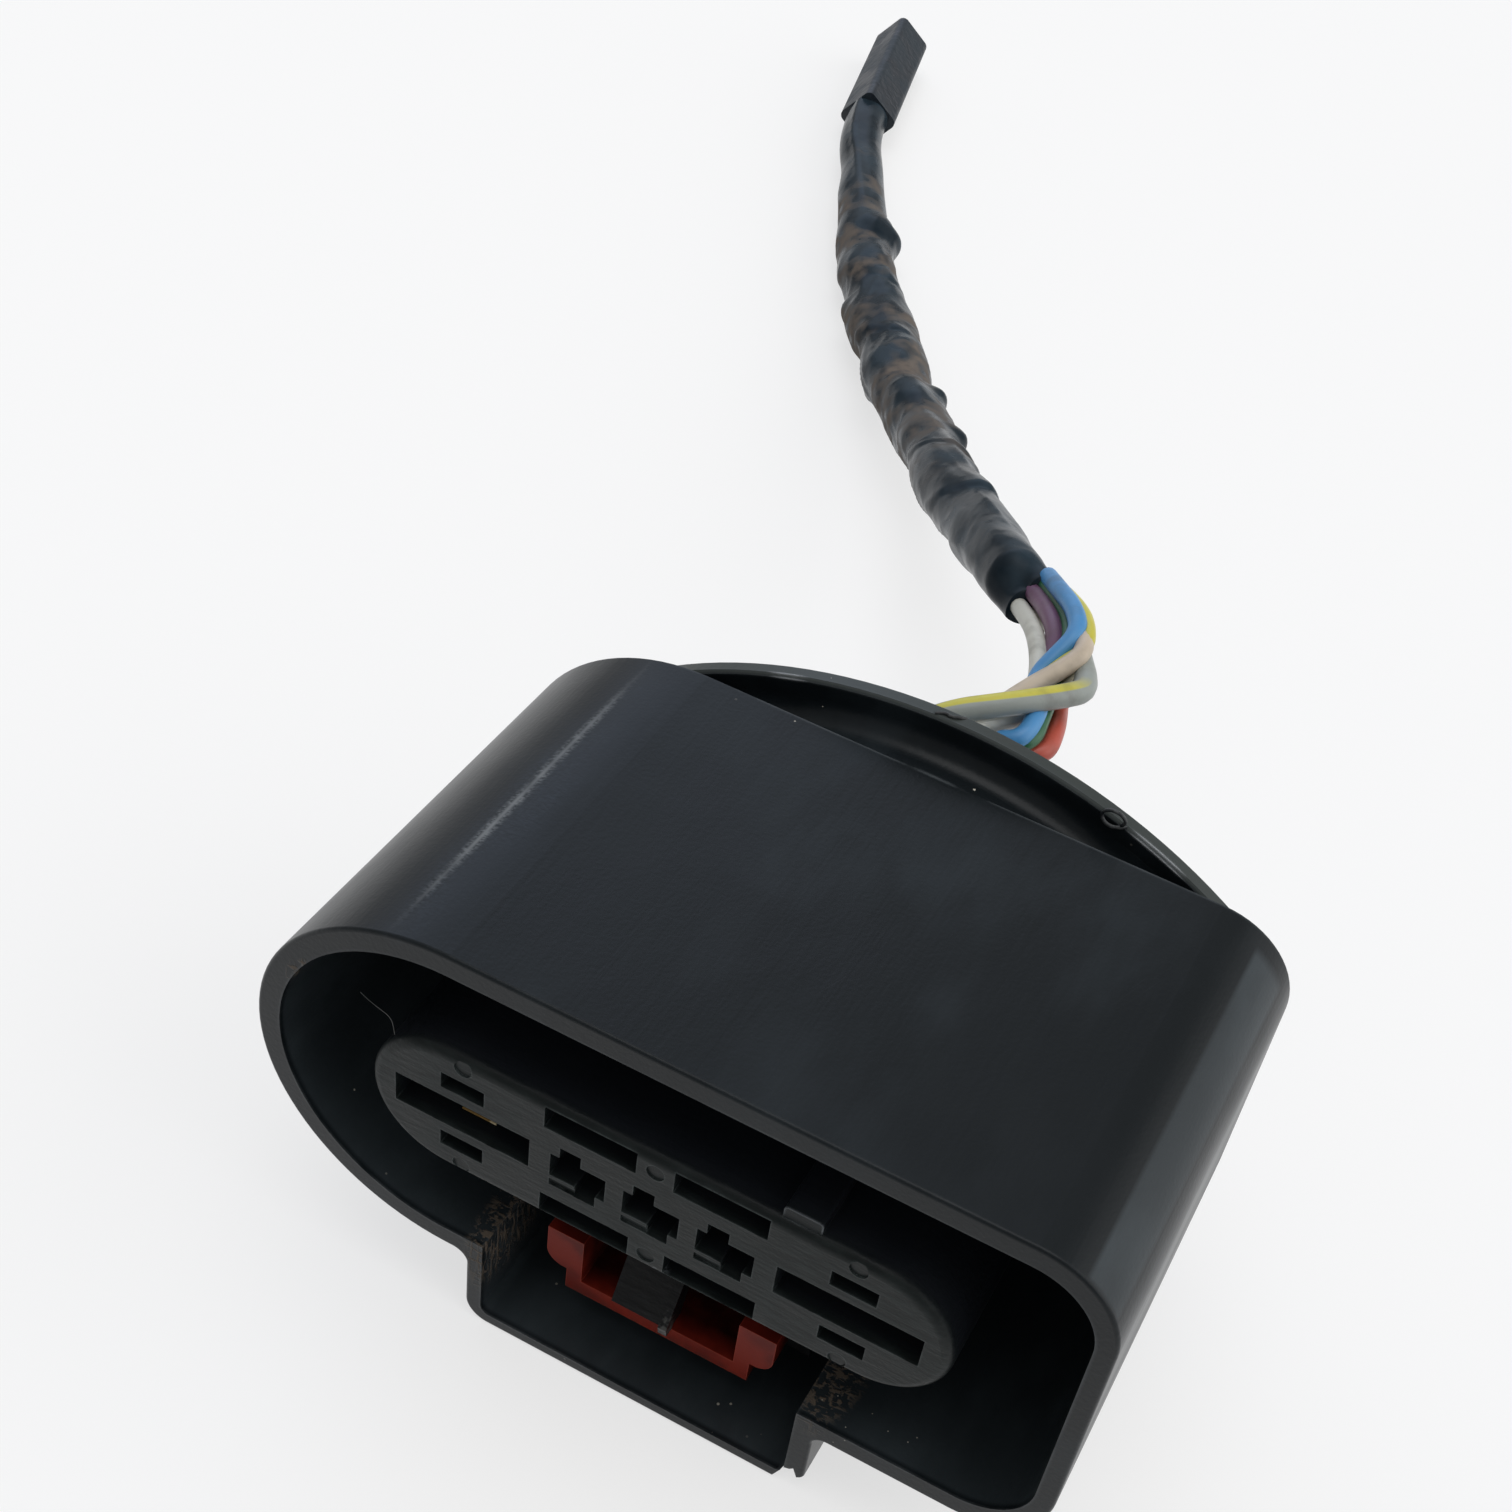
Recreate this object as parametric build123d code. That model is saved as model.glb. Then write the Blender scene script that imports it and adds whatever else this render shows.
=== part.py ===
from build123d import *
import math
import os

# All sizes are in millimetres. X runs along the long side of the shroud, Y runs from the open
# mating face to the back, Z is up. The origin is the middle of the mating face.

# Shroud: one end is a full half round, the other is flat with rounded corners.
shroud_width = 65.0
shroud_height = 32.0
shroud_depth = 34.4
shroud_corner = 6.8
shroud_wall = 1.9
shroud_end_wall = 1.5
back_wall = 2.4
rim_edge = 0.3
junction_radius = 1.2

# Latch bay under the shroud, open to its inside.
bay_left = 14.6
bay_right = 14.9
bay_drop = 23.8
bay_side_left = 1.4
bay_side_right = 1.6
bay_floor = 1.2
bay_corner = 2.0

# Broken lower corner of the bay mouth, measured from the bay's outer corner.
chip_width = 2.6
chip_height = 2.1
chip_notch = 0.9
chip_depth = 4.0

# Socket block that carries the contacts, its face level with the rim.
plug_height = 12.6
plug_stand_out = 2.2
plug_edge = 0.8
collar_overhang = 3.2
collar_thickness = 2.0
fit_gap = 0.15

# Coding rib on top of the socket block.
key_offset = 10.65
key_width = 2.9
key_height = 1.1
key_setback = 0.5
key_edge = 0.3

# Contact cavities: width and height, and the webs between them and at the ends of the face.
large_cavity = (11.0, 3.0)
medium_cavity = (7.2, 2.1)
small_cavity = (4.4, 2.4)
small_web = 1.4
medium_web = 2.9
large_web = 1.7
end_web = 2.15
medium_rise = 4.75
large_window = (3.5, 1.55)
large_window_rise = 3.2
large_window_depth = 14.0
small_window = (1.65, 1.3)
small_window_shift = 0.65
small_window_depth = 9.0
strip_height = 0.7
strip_depth = 0.2
pip_radius = 0.7
pip_depth = 0.15
pip_rise = 4.75
pip_end_rise = 5.35

# Latch arm under the socket block, one moulding with it.
arm_width = 4.7
arm_thickness = 1.5
arm_drop = 1.2
arm_root = 21.0
arm_root_length = 4.0
nose_start = 3.2
nose_setback = 0.3
nose_drop = 5.2
nose_length = 2.0
fin_width = 0.7
fin_drop = 0.9

# Sliding lock and the two rails that hold it.
lock_front = 3.5
lock_length = 15.0
lock_bottom = 19.3
lock_floor = 1.5
lock_half_width = 7.9
lock_wall = 1.3
ear_reach = 1.8
ear_bottom = 17.0
ear_top = 12.9
ear_radius = 1.5
lock_back_wall = 1.6
lock_travel = 3.5
rail_setback = 7.0
rail_margin = 4.0
rail_wall = 1.4
rail_ledge = 1.0
rail_ledge_height = 0.8
slide_gap = 0.15

# Rear cover: neck, curved flange and cable collar.
neck_length = 2.6
flange_thickness = 1.5
flange_overhang = 3.2
flange_end_gap = 0.2
flange_shift = 2.5
flange_left_height = 1.65
flange_end_radius = 5.0
flange_left_radius = 1.2
neck_inset = 3.2
neck_fillet = 1.6
flange_edge = 0.25
outlet_wall = 1.8
outlet_length = 5.5
hook_width = 5.0
hook_thickness = 1.3
hook_barb = 0.7
hook_barb_length = 1.6
hook_spread = 13.0
hook_rise = 11.2

# Contacts: receptacle with rolled springs, neck and crimp barrel.
contact_setback = 3.0
contact_end = 31.0
contact_sheet = 0.35
contact_side_gap = 0.2
large_receptacle = 12.0
medium_receptacle = 10.0
small_receptacle = 8.0
conductor_barrel = 5.0
insulation_barrel = 5.0
barrel_gap = 1.0
core_share = 0.6
spring_share = 0.55

# Wires: outer radii of the three gauges.
large_wire = 1.05
medium_wire = 0.85
small_wire = 0.65

# Each wire leaves its contact straight, as far as the first bend behind the cable collar.
first_bend = 40.0

# Cavity, radius and route of each wire, from its first bend to its last before the tape.
wire_routes = {
    "grey": (
        "large_left", large_wire,
        [(-10, 48, 5), (-3, 50.6, 8.2), (2.5, 54.8, 8.9), (7.6, 59.6, 8.9), (8, 64.6, 6),
         (4.7, 68.6, 4.6), (0.4, 72.8, 5.4)],
    ),
    "white": (
        "small_left", medium_wire,
        [(-2.2, 50.5, 1.8), (0.6, 56.8, 3), (1.6, 62.2, 4.6), (-0.5, 65.7, 5.7), (-3.7, 70.2, 6)],
    ),
    "tan": (
        "medium_lower_left", medium_wire,
        [(-1.7, 50.5, -0.3), (1.1, 56.8, 0.9), (2.1, 62.2, 2.5), (-0.1, 65.9, 3.7), (-3.1, 69.9, 4.4)],
    ),
    "blue": (
        "medium_upper_right", medium_wire,
        [(2.7, 50.5, 3.2), (5.5, 56.8, 4.4), (6, 62.5, 5.9), (3.5, 68, 7.1), (-0.6, 72.8, 7.2)],
    ),
    "green": (
        "small_middle", small_wire,
        [(0.9, 50.5, 3.9), (3.7, 56.8, 5.1), (4.7, 62.4, 6.7), (2.1, 67.1, 7.8), (-2, 72.1, 7.7)],
    ),
    "red": (
        "medium_lower_right", medium_wire,
        [(0.6, 50.5, 1.4), (3.4, 56.8, 2.6), (4.4, 62.4, 4.2), (1.8, 67, 5.4), (-1.8, 71.4, 5.8)],
    ),
    "purple": (
        "medium_upper_left", medium_wire,
        [(-1, 50.5, 3.6), (1.8, 56.8, 4.8), (2.8, 62.3, 6.4), (0.5, 66.2, 7.5), (-3.2, 71.1, 7.5)],
    ),
    "yellow": (
        "small_right", small_wire,
        [(3.4, 50.5, -0.8), (5, 56.8, 0.6), (6, 62.6, 2.2), (3.1, 67.8, 3.4), (-0.4, 71.7, 4.1)],
    ),
    "ivory": (
        "large_right", large_wire,
        [(9.4, 48.6, -2.2), (4, 55.2, -2), (4, 62.4, 1.2), (1.5, 66.8, 2.6), (-1.6, 70.6, 3.4)],
    ),
}

# Taped bundle: from the mouth of the tape to the sleeve over its cut end.
tape_radius = 3.5
tape_route = [
    (-4, 74.5, 4.5),
    (-11, 84.5, 0.5),
    (-19.5, 97, -5.5),
    (-31, 115, -12.5),
    (-43.5, 134.5, -17.8),
    (-56.5, 155.5, -19.8),
    (-69, 178.5, -19.8),
    (-75.4, 189.6, -19.8),
    (-77.3, 196.5, -19.8),
]
sleeve_side = 6.2
sleeve_corner = 1.0
sleeve_roll = 42.0
sleeve_length = 28.0
sleeve_bore = 2.2
sleeve_bore_depth = 8.0

# An arc takes this share of the shorter of its two runs.
bend_share = 0.45

wall_front = shroud_depth - back_wall
cover_back = shroud_depth + neck_length + flange_thickness
outlet_back = cover_back + outlet_length
plug_half_height = plug_height / 2
plug_depth = shroud_depth + plug_stand_out
small_pitch = small_cavity[0] + small_web
medium_pitch = medium_cavity[0] + medium_web
large_pitch = 2 * small_pitch + small_cavity[0] + 2 * large_web + large_cavity[0]
plug_width = large_pitch + large_cavity[0] + 2 * end_web
lock_back = lock_front + lock_length
rail_back = lock_back + lock_travel + rail_margin

# The flange's two edges are arcs through its top and its narrow left end.
flange_half_width = shroud_width / 2 - flange_end_gap
flange_rise = shroud_height / 2 + flange_overhang
flange_chord = flange_half_width + flange_shift
flange_bulge = flange_rise - flange_left_height
flange_arc = (flange_chord**2 + flange_bulge**2) / (2 * flange_bulge)
flange_arc_drop = flange_arc - flange_rise


def prism(face, start, end):
    """Solid of a flat outline in X and Z between two depths."""
    return extrude(Plane.XZ.offset(-start) * face, amount=start - end)


def block(x_range, y_range, z_range):
    """Box between the given limits."""
    size = [high - low for low, high in (x_range, y_range, z_range)]
    centre = [(high + low) / 2 for low, high in (x_range, y_range, z_range)]
    return Pos(*centre) * Box(*size)


def side_plate(points, x_low, x_high):
    """Plate with an outline in Y and Z, as thick as the given X range."""
    face = Plane.YZ.offset(x_low) * make_face(Polyline(*points, close=True))
    return extrude(face, amount=x_high - x_low)


def stadium(width, height):
    return SlotOverall(width, height)


def half_round_outline(left, right, height, corner):
    """Outline with a full half round at the left and two rounded corners at the right."""
    radius = height / 2
    straight = right + left - radius
    outline = Pos((right - left + radius) / 2, 0) * Rectangle(straight, height)
    outline += Pos(radius - left, 0) * Circle(radius)
    corners = outline.vertices().group_by(Axis.X)[-1]
    return fillet(corners, corner)


def corners_near(outline, height, reach):
    """Corners of a flat outline at a height, within a reach of the middle."""
    return [v for v in outline.vertices() if abs(v.Y - height) < 0.01 and abs(v.X) < reach]


def shroud_outline():
    """Outer outline of the shroud and its bay."""
    outline = half_round_outline(shroud_width / 2, shroud_width / 2, shroud_height, shroud_corner)
    bay_height = bay_drop - shroud_height / 2 + shroud_wall
    bay_face = Rectangle(bay_left + bay_right, bay_height)
    outline += Pos((bay_right - bay_left) / 2, bay_height / 2 - bay_drop) * bay_face
    reach = bay_right + 0.1
    outline = fillet(corners_near(outline, -shroud_height / 2, reach), junction_radius)
    return fillet(corners_near(outline, -bay_drop, reach), bay_corner)


def hollow_outline():
    """Inner outline of the shroud and its bay."""
    left = shroud_width / 2 - shroud_wall
    right = shroud_width / 2 - shroud_end_wall
    height = shroud_height - 2 * shroud_wall
    outline = half_round_outline(left, right, height, shroud_corner - shroud_end_wall)
    bay_low = -bay_left + bay_side_left
    bay_high = bay_right - bay_side_right
    bay_height = bay_drop - bay_floor
    bay_face = Rectangle(bay_high - bay_low, bay_height)
    outline += Pos((bay_high + bay_low) / 2, -bay_height / 2) * bay_face
    return fillet(corners_near(outline, -bay_height, bay_right), bay_corner - bay_floor)


def broken_corner():
    """Piece missing from the lower right corner of the bay mouth."""
    low = -bay_drop
    points = [
        (bay_right - chip_width, low - 1),
        (bay_right - chip_width, low),
        (bay_right - chip_width + chip_notch, low + chip_height),
        (bay_right - chip_notch, low + chip_height + chip_notch),
        (bay_right - chip_notch / 2, low + chip_height - chip_notch / 3),
        (bay_right + 1, low + chip_height + chip_notch),
        (bay_right + 1, low - 1),
    ]
    face = make_face(Polyline(*points, close=True))
    return extrude(Plane.XZ.offset(1) * face, amount=-chip_depth - 1, taper=8)


def hook_places():
    """Middle of each snap hook in X and Z."""
    places = []
    for side in (-1, 1):
        for level in (-1, 1):
            places.append((side * hook_spread, level * hook_rise))
    return places


def shroud():
    """Open tube with its bay, its back wall and the slots for the cover's hooks."""
    body = prism(shroud_outline(), 0, shroud_depth)
    rim = body.faces().sort_by(Axis.Y)[0]
    body = fillet(rim.edges(), rim_edge)
    body -= prism(hollow_outline(), -1, wall_front)
    body -= prism(stadium(plug_width + 2 * fit_gap, plug_height + 2 * fit_gap), 0, shroud_depth + 1)
    for x, z in hook_places():
        slot = Rectangle(hook_width + 2 * fit_gap, hook_thickness + hook_barb + 2 * fit_gap)
        shift = math.copysign(hook_barb / 2, z)
        body -= prism(Pos(x, z + shift) * slot, 0, shroud_depth + 1)
    return body - broken_corner()


def cavity_places():
    """Name, middle and size of every contact cavity on the face."""
    places = []
    for side, name in ((-1, "left"), (1, "right")):
        places.append(("large_" + name, side * large_pitch / 2, 0, large_cavity))
    for level, row in ((1, "upper"), (-1, "lower")):
        for side, name in ((-1, "left"), (1, "right")):
            x = side * medium_pitch / 2
            places.append((f"medium_{row}_{name}", x, level * medium_rise, medium_cavity))
    for step, name in ((-1, "left"), (0, "middle"), (1, "right")):
        places.append(("small_" + name, step * small_pitch, 0, small_cavity))
    return places


def window_cuts():
    """Release windows beside the large and small cavities."""
    cuts = []
    for name, x, z, size in cavity_places():
        for level in (-1, 1):
            if name.startswith("large"):
                window = Pos(x, level * large_window_rise) * Rectangle(*large_window)
                cuts.append(prism(window, -1, large_window_depth))
            if name.startswith("small"):
                rise = size[1] / 2 + small_window[1] / 2 - strip_depth
                shift = -level * small_window_shift
                window = Pos(x + shift, level * rise) * Rectangle(*small_window)
                cuts.append(prism(window, -1, small_window_depth))
        if name.startswith("small"):
            strip_width = size[0] / 2 + small_window_shift - small_window[0] / 2
            strip_x = x - size[0] / 2 + strip_width / 2
            strip_z = -size[1] / 2 - strip_height
            strip = Pos(strip_x, strip_z) * Rectangle(strip_width, strip_height)
            cuts.append(prism(strip, -1, strip_depth))
    return cuts


def pip_cuts():
    """Shallow round marks on the face."""
    cuts = []
    for side in (-1, 1):
        for level in (-1, 1):
            mark = Pos(side * large_pitch / 2, level * pip_end_rise) * Circle(pip_radius)
            cuts.append(prism(mark, -1, pip_depth))
    for level in (-1, 1):
        mark = Pos(0, level * pip_rise) * Circle(pip_radius)
        cuts.append(prism(mark, -1, pip_depth))
    return cuts


def latch_arm():
    """Springy arm with a sloping nose, and the fin on its right edge."""
    top = -plug_half_height - arm_drop
    bottom = top - arm_thickness
    tip = top - nose_drop
    arm = side_plate(
        [
            (arm_root, -plug_half_height + 0.5),
            (arm_root - arm_root_length, -plug_half_height + 0.5),
            (arm_root - arm_root_length, top),
            (nose_start, top),
            (nose_setback, tip),
            (nose_setback + 0.3, tip - 0.5),
            (nose_setback + nose_length, tip - 0.5),
            (nose_start + 0.8, bottom),
            (arm_root, bottom),
        ],
        -arm_width / 2,
        arm_width / 2,
    )
    fin = side_plate(
        [
            (nose_start, top),
            (nose_setback - 0.2, tip),
            (nose_setback, tip - fin_drop),
            (nose_setback + 0.8, tip - fin_drop),
            (nose_start + 0.8, bottom),
        ],
        arm_width / 2 - fin_width,
        arm_width / 2,
    )
    return arm + fin


def rail(side):
    """Channel beside the lock, with a ledge over and under the lock's ear."""
    ear = lock_half_width + ear_reach
    inner = ear + slide_gap
    y_range = (rail_setback, rail_back)
    low = -ear_bottom - slide_gap - rail_ledge_height
    high = -ear_top + slide_gap + rail_ledge_height
    web = block((inner, inner + rail_wall), y_range, (low, -plug_half_height + 1.5))
    under = block((inner - rail_ledge, inner), y_range, (low, low + rail_ledge_height))
    over = block((inner - rail_ledge, inner), y_range, (high - rail_ledge_height, high))
    channel = web + under + over
    return channel if side > 0 else channel.mirror(Plane.YZ)


def plug_body():
    """Socket block with its cavities, stop collar, coding rib, latch arm and lock rails."""
    body = prism(stadium(plug_width, plug_height), 0, plug_depth)
    face = body.faces().sort_by(Axis.Y)[0]
    body = fillet(face.edges(), plug_edge)
    collar_size = (plug_width + 2 * collar_overhang, plug_height + 2 * collar_overhang)
    body += prism(stadium(*collar_size), wall_front - collar_thickness, wall_front)
    key_low = key_offset - key_width / 2
    key_range = (key_low, key_low + key_width)
    key_end = wall_front - collar_thickness
    key_top = plug_half_height + key_height
    key = block(key_range, (key_setback, key_end), (plug_half_height - 1, key_top))
    key = fillet(key.edges().filter_by(Axis.Y).group_by(Axis.Z)[-1], key_edge)
    body += key
    body += latch_arm() + rail(1) + rail(-1)
    for _, x, z, size in cavity_places():
        body -= prism(Pos(x, z) * Rectangle(*size), -1, plug_depth + 1)
    for cut in window_cuts() + pip_cuts():
        body -= cut
    return body


def lock_slide():
    """Sliding lock: a tray with stepped ears that run in the rails."""
    y_range = (lock_front, lock_back)
    half = lock_half_width
    body = block((-half, half), y_range, (-lock_bottom, -ear_top))
    inside = half - lock_wall
    hollow_depth = (lock_front - 1, lock_back - lock_back_wall)
    body -= block((-inside, inside), hollow_depth, (lock_floor - lock_bottom, 0))
    for side in (-1, 1):
        ear = block((half - 0.5, half + ear_reach), y_range, (-ear_bottom, -ear_top))
        outer = ear.edges().filter_by(Axis.Y).sort_by(Axis.X)[-2:].sort_by(Axis.Z)[0]
        ear = fillet(outer, ear_radius)
        body += ear if side > 0 else ear.mirror(Plane.YZ)
    return body


def lens_outline(inset):
    """Flat shape between two large arcs, cut straight at its ends and rounded there."""
    arc = Circle(flange_arc - inset)
    lens = (Pos(flange_shift, -flange_arc_drop) * arc) & (Pos(flange_shift, flange_arc_drop) * arc)
    lens &= Pos(-inset) * Rectangle(2 * flange_half_width, shroud_width)
    left = [v for v in lens.vertices() if v.X < 0]
    lens = fillet(left, flange_left_radius)
    right = [v for v in lens.vertices() if v.X > flange_half_width - inset - 0.01]
    return fillet(right, flange_end_radius - inset / 2)


def edges_along(body, face):
    """Edges of a body that lie where the edges of a flat face do."""
    places = [edge.center() for edge in face.edges()]
    return [e for e in body.edges() if any((e.center() - place).length < 0.01 for place in places)]


def snap_hook(x, z):
    """Hook that passes a slot in the shroud's back wall and catches behind it."""
    inner = z - math.copysign(hook_thickness / 2, z)
    outer = z + math.copysign(hook_thickness / 2, z)
    barb = outer + math.copysign(hook_barb, z)
    catch = wall_front - slide_gap
    tip = catch - hook_barb_length
    points = [
        (shroud_depth + 0.5, inner),
        (tip, inner),
        (tip, outer),
        (catch, barb),
        (catch, outer),
        (shroud_depth + 0.5, outer),
    ]
    return side_plate(points, x - hook_width / 2, x + hook_width / 2)


def rear_cover():
    """Neck, curved flange and cable collar, with four snap hooks."""
    neck_end = shroud_depth + neck_length
    flange = prism(lens_outline(0), neck_end, cover_back)
    neck = prism(lens_outline(neck_inset), shroud_depth, neck_end)
    body = flange + neck
    body = fillet(edges_along(body, neck.faces().sort_by(Axis.Y)[-1]), neck_fillet)
    for face in (flange.faces().sort_by(Axis.Y)[0], flange.faces().sort_by(Axis.Y)[-1]):
        body = chamfer(edges_along(body, face), flange_edge)
    opening = (plug_width + 2 * fit_gap, plug_height + 2 * fit_gap)
    outlet = (opening[0] + 2 * outlet_wall, opening[1] + 2 * outlet_wall)
    body += prism(stadium(*outlet), cover_back - 0.5, outlet_back)
    body -= prism(stadium(*opening), shroud_depth - 1, outlet_back + 1)
    for x, z in hook_places():
        body += snap_hook(x, z)
    return body


def receptacle_length(name):
    sizes = {"large": large_receptacle, "medium": medium_receptacle, "small": small_receptacle}
    return sizes[name.split("_")[0]]


def contact(name, x, z, size, wire):
    """Socket contact: folded receptacle, two springs, neck and the two crimped barrels."""
    width = size[0] - 2 * contact_side_gap
    height = size[1] - 2 * contact_side_gap
    start = contact_setback
    end = start + receptacle_length(name)
    frame = Rectangle(width, height) - Rectangle(width - 2 * contact_sheet, height - 2 * contact_sheet)
    body = prism(frame - Pos(0, height / 2) * Rectangle(contact_sheet, height), start, end)
    spring_radius = (height / 2 - contact_sheet) * spring_share
    spring_x = (width / 2 - contact_sheet - spring_radius) * 0.9
    for side in (-1, 1):
        stem = Rectangle(contact_sheet, height / 2 - contact_sheet / 2)
        roll = Circle(spring_radius) + Pos(0, height / 4) * stem
        body += prism(Pos(side * spring_x, 0) * roll, start + 1, end - 1)
    insulation_start = contact_end - insulation_barrel
    conductor_end = insulation_start - barrel_gap
    body += prism(Circle(wire * core_share), conductor_end - conductor_barrel, conductor_end)
    body += prism(Circle(wire), insulation_start, contact_end)
    floor_z = -height / 2
    y_range = (end - 1, insulation_start + 1)
    body += block((-wire * core_share, wire * core_share), y_range, (floor_z, floor_z + 2 * contact_sheet))
    return Pos(x, 0, z) * body


def bend_radii(points):
    """Largest tangent arc at each inner point that leaves part of both runs straight."""
    radii = []
    for before, corner, after in zip(points, points[1:], points[2:]):
        run_in = corner - before
        run_out = after - corner
        turn = math.radians(run_in.get_angle(run_out))
        shorter = min(run_in.length, run_out.length)
        radii.append(bend_share * shorter / math.tan(turn / 2))
    return radii


def tube(name, points, radius):
    """Round cord along straight runs joined by tangent arcs."""
    points = [Vector(*point) for point in points]
    radii = bend_radii(points)
    path = FilletPolyline(*points, radius=radii)
    solid = sweep(Plane(path ^ 0) * Circle(radius), path=path)
    expected = math.pi * radius**2 * path.length
    print(name, "radii", [round(r, 1) for r in radii], "volume share", round(solid.volume / expected, 4))
    return solid


def wire(name, cavity, radius, route):
    """Wire from its contact to the mouth of the tape."""
    x, z = [(px, pz) for place, px, pz, _ in cavity_places() if place == cavity][0]
    mouth = Vector(*tape_route[0])
    along = (Vector(*tape_route[1]) - mouth).normalized()
    last = Vector(*route[-1])
    end = last + along * (mouth - last).dot(along)
    points = [(x, contact_end, z), (x, first_bend, z), *route, tuple(end)]
    return tube("wire_" + name, points, radius)


def end_sleeve():
    """Square sleeve over the cut end of the bundle, lying on one edge and open at its far end."""
    end = Vector(*tape_route[-1])
    along = end - Vector(*tape_route[-2])
    plane = Plane(origin=end, x_dir=along.cross(Vector(0, 0, 1)), z_dir=along)
    profile = Rot(0, 0, sleeve_roll) * RectangleRounded(sleeve_side, sleeve_side, sleeve_corner)
    body = extrude(plane * profile, amount=sleeve_length)
    far = plane.offset(sleeve_length)
    body -= extrude(far * Circle(sleeve_bore), amount=-sleeve_bore_depth)
    return Pos(0, 0, -bay_drop - body.bounding_box().min.Z) * body


def build_nodes():
    nodes = {
        "shroud": shroud(),
        "plug_body": plug_body(),
        "lock_slide": lock_slide(),
        "rear_cover": rear_cover(),
    }
    wire_radii = {cavity: radius for cavity, radius, _ in wire_routes.values()}
    for name, x, z, size in cavity_places():
        nodes["contact_" + name] = contact(name, x, z, size, wire_radii[name])
    for name, (cavity, radius, route) in wire_routes.items():
        nodes["wire_" + name] = wire(name, cavity, radius, route)
    nodes["tape_wrap"] = tube("tape_wrap", tape_route, tape_radius)
    nodes["end_sleeve"] = end_sleeve()
    return nodes


def main():
    os.makedirs("parts", exist_ok=True)
    for name, node in build_nodes().items():
        export_step(node, f"parts/{name}.step")


main()
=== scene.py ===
import math

import bmesh
import bpy
from bpy.props import FloatProperty, FloatVectorProperty
from mathutils import Matrix, Vector, noise


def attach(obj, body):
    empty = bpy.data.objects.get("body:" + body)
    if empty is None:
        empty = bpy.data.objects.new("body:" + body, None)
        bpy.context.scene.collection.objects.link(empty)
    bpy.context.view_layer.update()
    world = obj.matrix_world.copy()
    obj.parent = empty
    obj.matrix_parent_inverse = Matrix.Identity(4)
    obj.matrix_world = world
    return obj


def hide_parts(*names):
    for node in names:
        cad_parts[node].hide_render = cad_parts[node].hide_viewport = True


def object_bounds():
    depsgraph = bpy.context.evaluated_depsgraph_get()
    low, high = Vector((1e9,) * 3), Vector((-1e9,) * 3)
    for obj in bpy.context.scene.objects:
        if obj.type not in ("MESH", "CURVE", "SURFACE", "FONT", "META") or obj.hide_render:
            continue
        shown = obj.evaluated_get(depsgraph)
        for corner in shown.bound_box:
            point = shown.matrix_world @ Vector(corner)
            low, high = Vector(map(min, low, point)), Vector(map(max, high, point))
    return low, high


bl_info = {
    "name": "Plug and Harness Finish",
    "version": (1, 0, 0),
    "blender": (4, 5, 0),
    "location": "3D View > Sidebar > Plug",
    "description": "Finishes a moulded plug, its wires and taped harness, and sets its stage",
    "category": "Object",
}

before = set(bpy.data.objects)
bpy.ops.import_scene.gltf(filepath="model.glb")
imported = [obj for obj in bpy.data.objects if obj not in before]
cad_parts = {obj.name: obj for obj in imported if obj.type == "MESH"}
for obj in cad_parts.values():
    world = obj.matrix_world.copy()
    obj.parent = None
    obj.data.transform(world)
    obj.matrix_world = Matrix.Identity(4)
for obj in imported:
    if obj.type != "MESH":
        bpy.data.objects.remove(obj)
cad_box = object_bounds()

MM = 0.001
HOUSING = "housing"

# Camera: place in millimetres, aim and roll, and the lens of a phone on a sensor width in millimetres.
CAMERA_PLACE = (35.37, -77.42, 119.49)
CAMERA_AIM = (-0.22252, 0.68091, -0.69774)
CAMERA_UP = (-0.40571, 0.58610, 0.70135)
CAMERA_LENS = 50.32
CAMERA_SENSOR = 36
CAMERA_SHIFT = (-0.0734, 0.0700)
CAMERA_NEAR = 0.01

# Floor: half width in metres, and its gap under the part in millimetres.
FLOOR_REACH = 3.0
FLOOR_GAP = 0.05

# Directions that the light comes from.
ABOVE = (0, 0, 1)
FRONT = (0, -1, 0.2)
WINDOW_SIDE = (-0.62, 0.70, 0.35)
RIGHT_SIDE = (0.85, 0.2, 0.42)

# Cosines at which each light begins and is full. WINDOW_RISE is measured from straight above.
CEILING_SPREAD = (0.88, 0.98)
FRONT_SPREAD = (0.0, 0.8)
WINDOW_SPREAD = (0.80, 0.94)
WINDOW_RISE = (0.15, 0.42)
SIDE_SPREAD = (0.72, 0.95)

# Light from the front as a share of the room's.
FRONT_SHARE = 0.8

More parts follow.
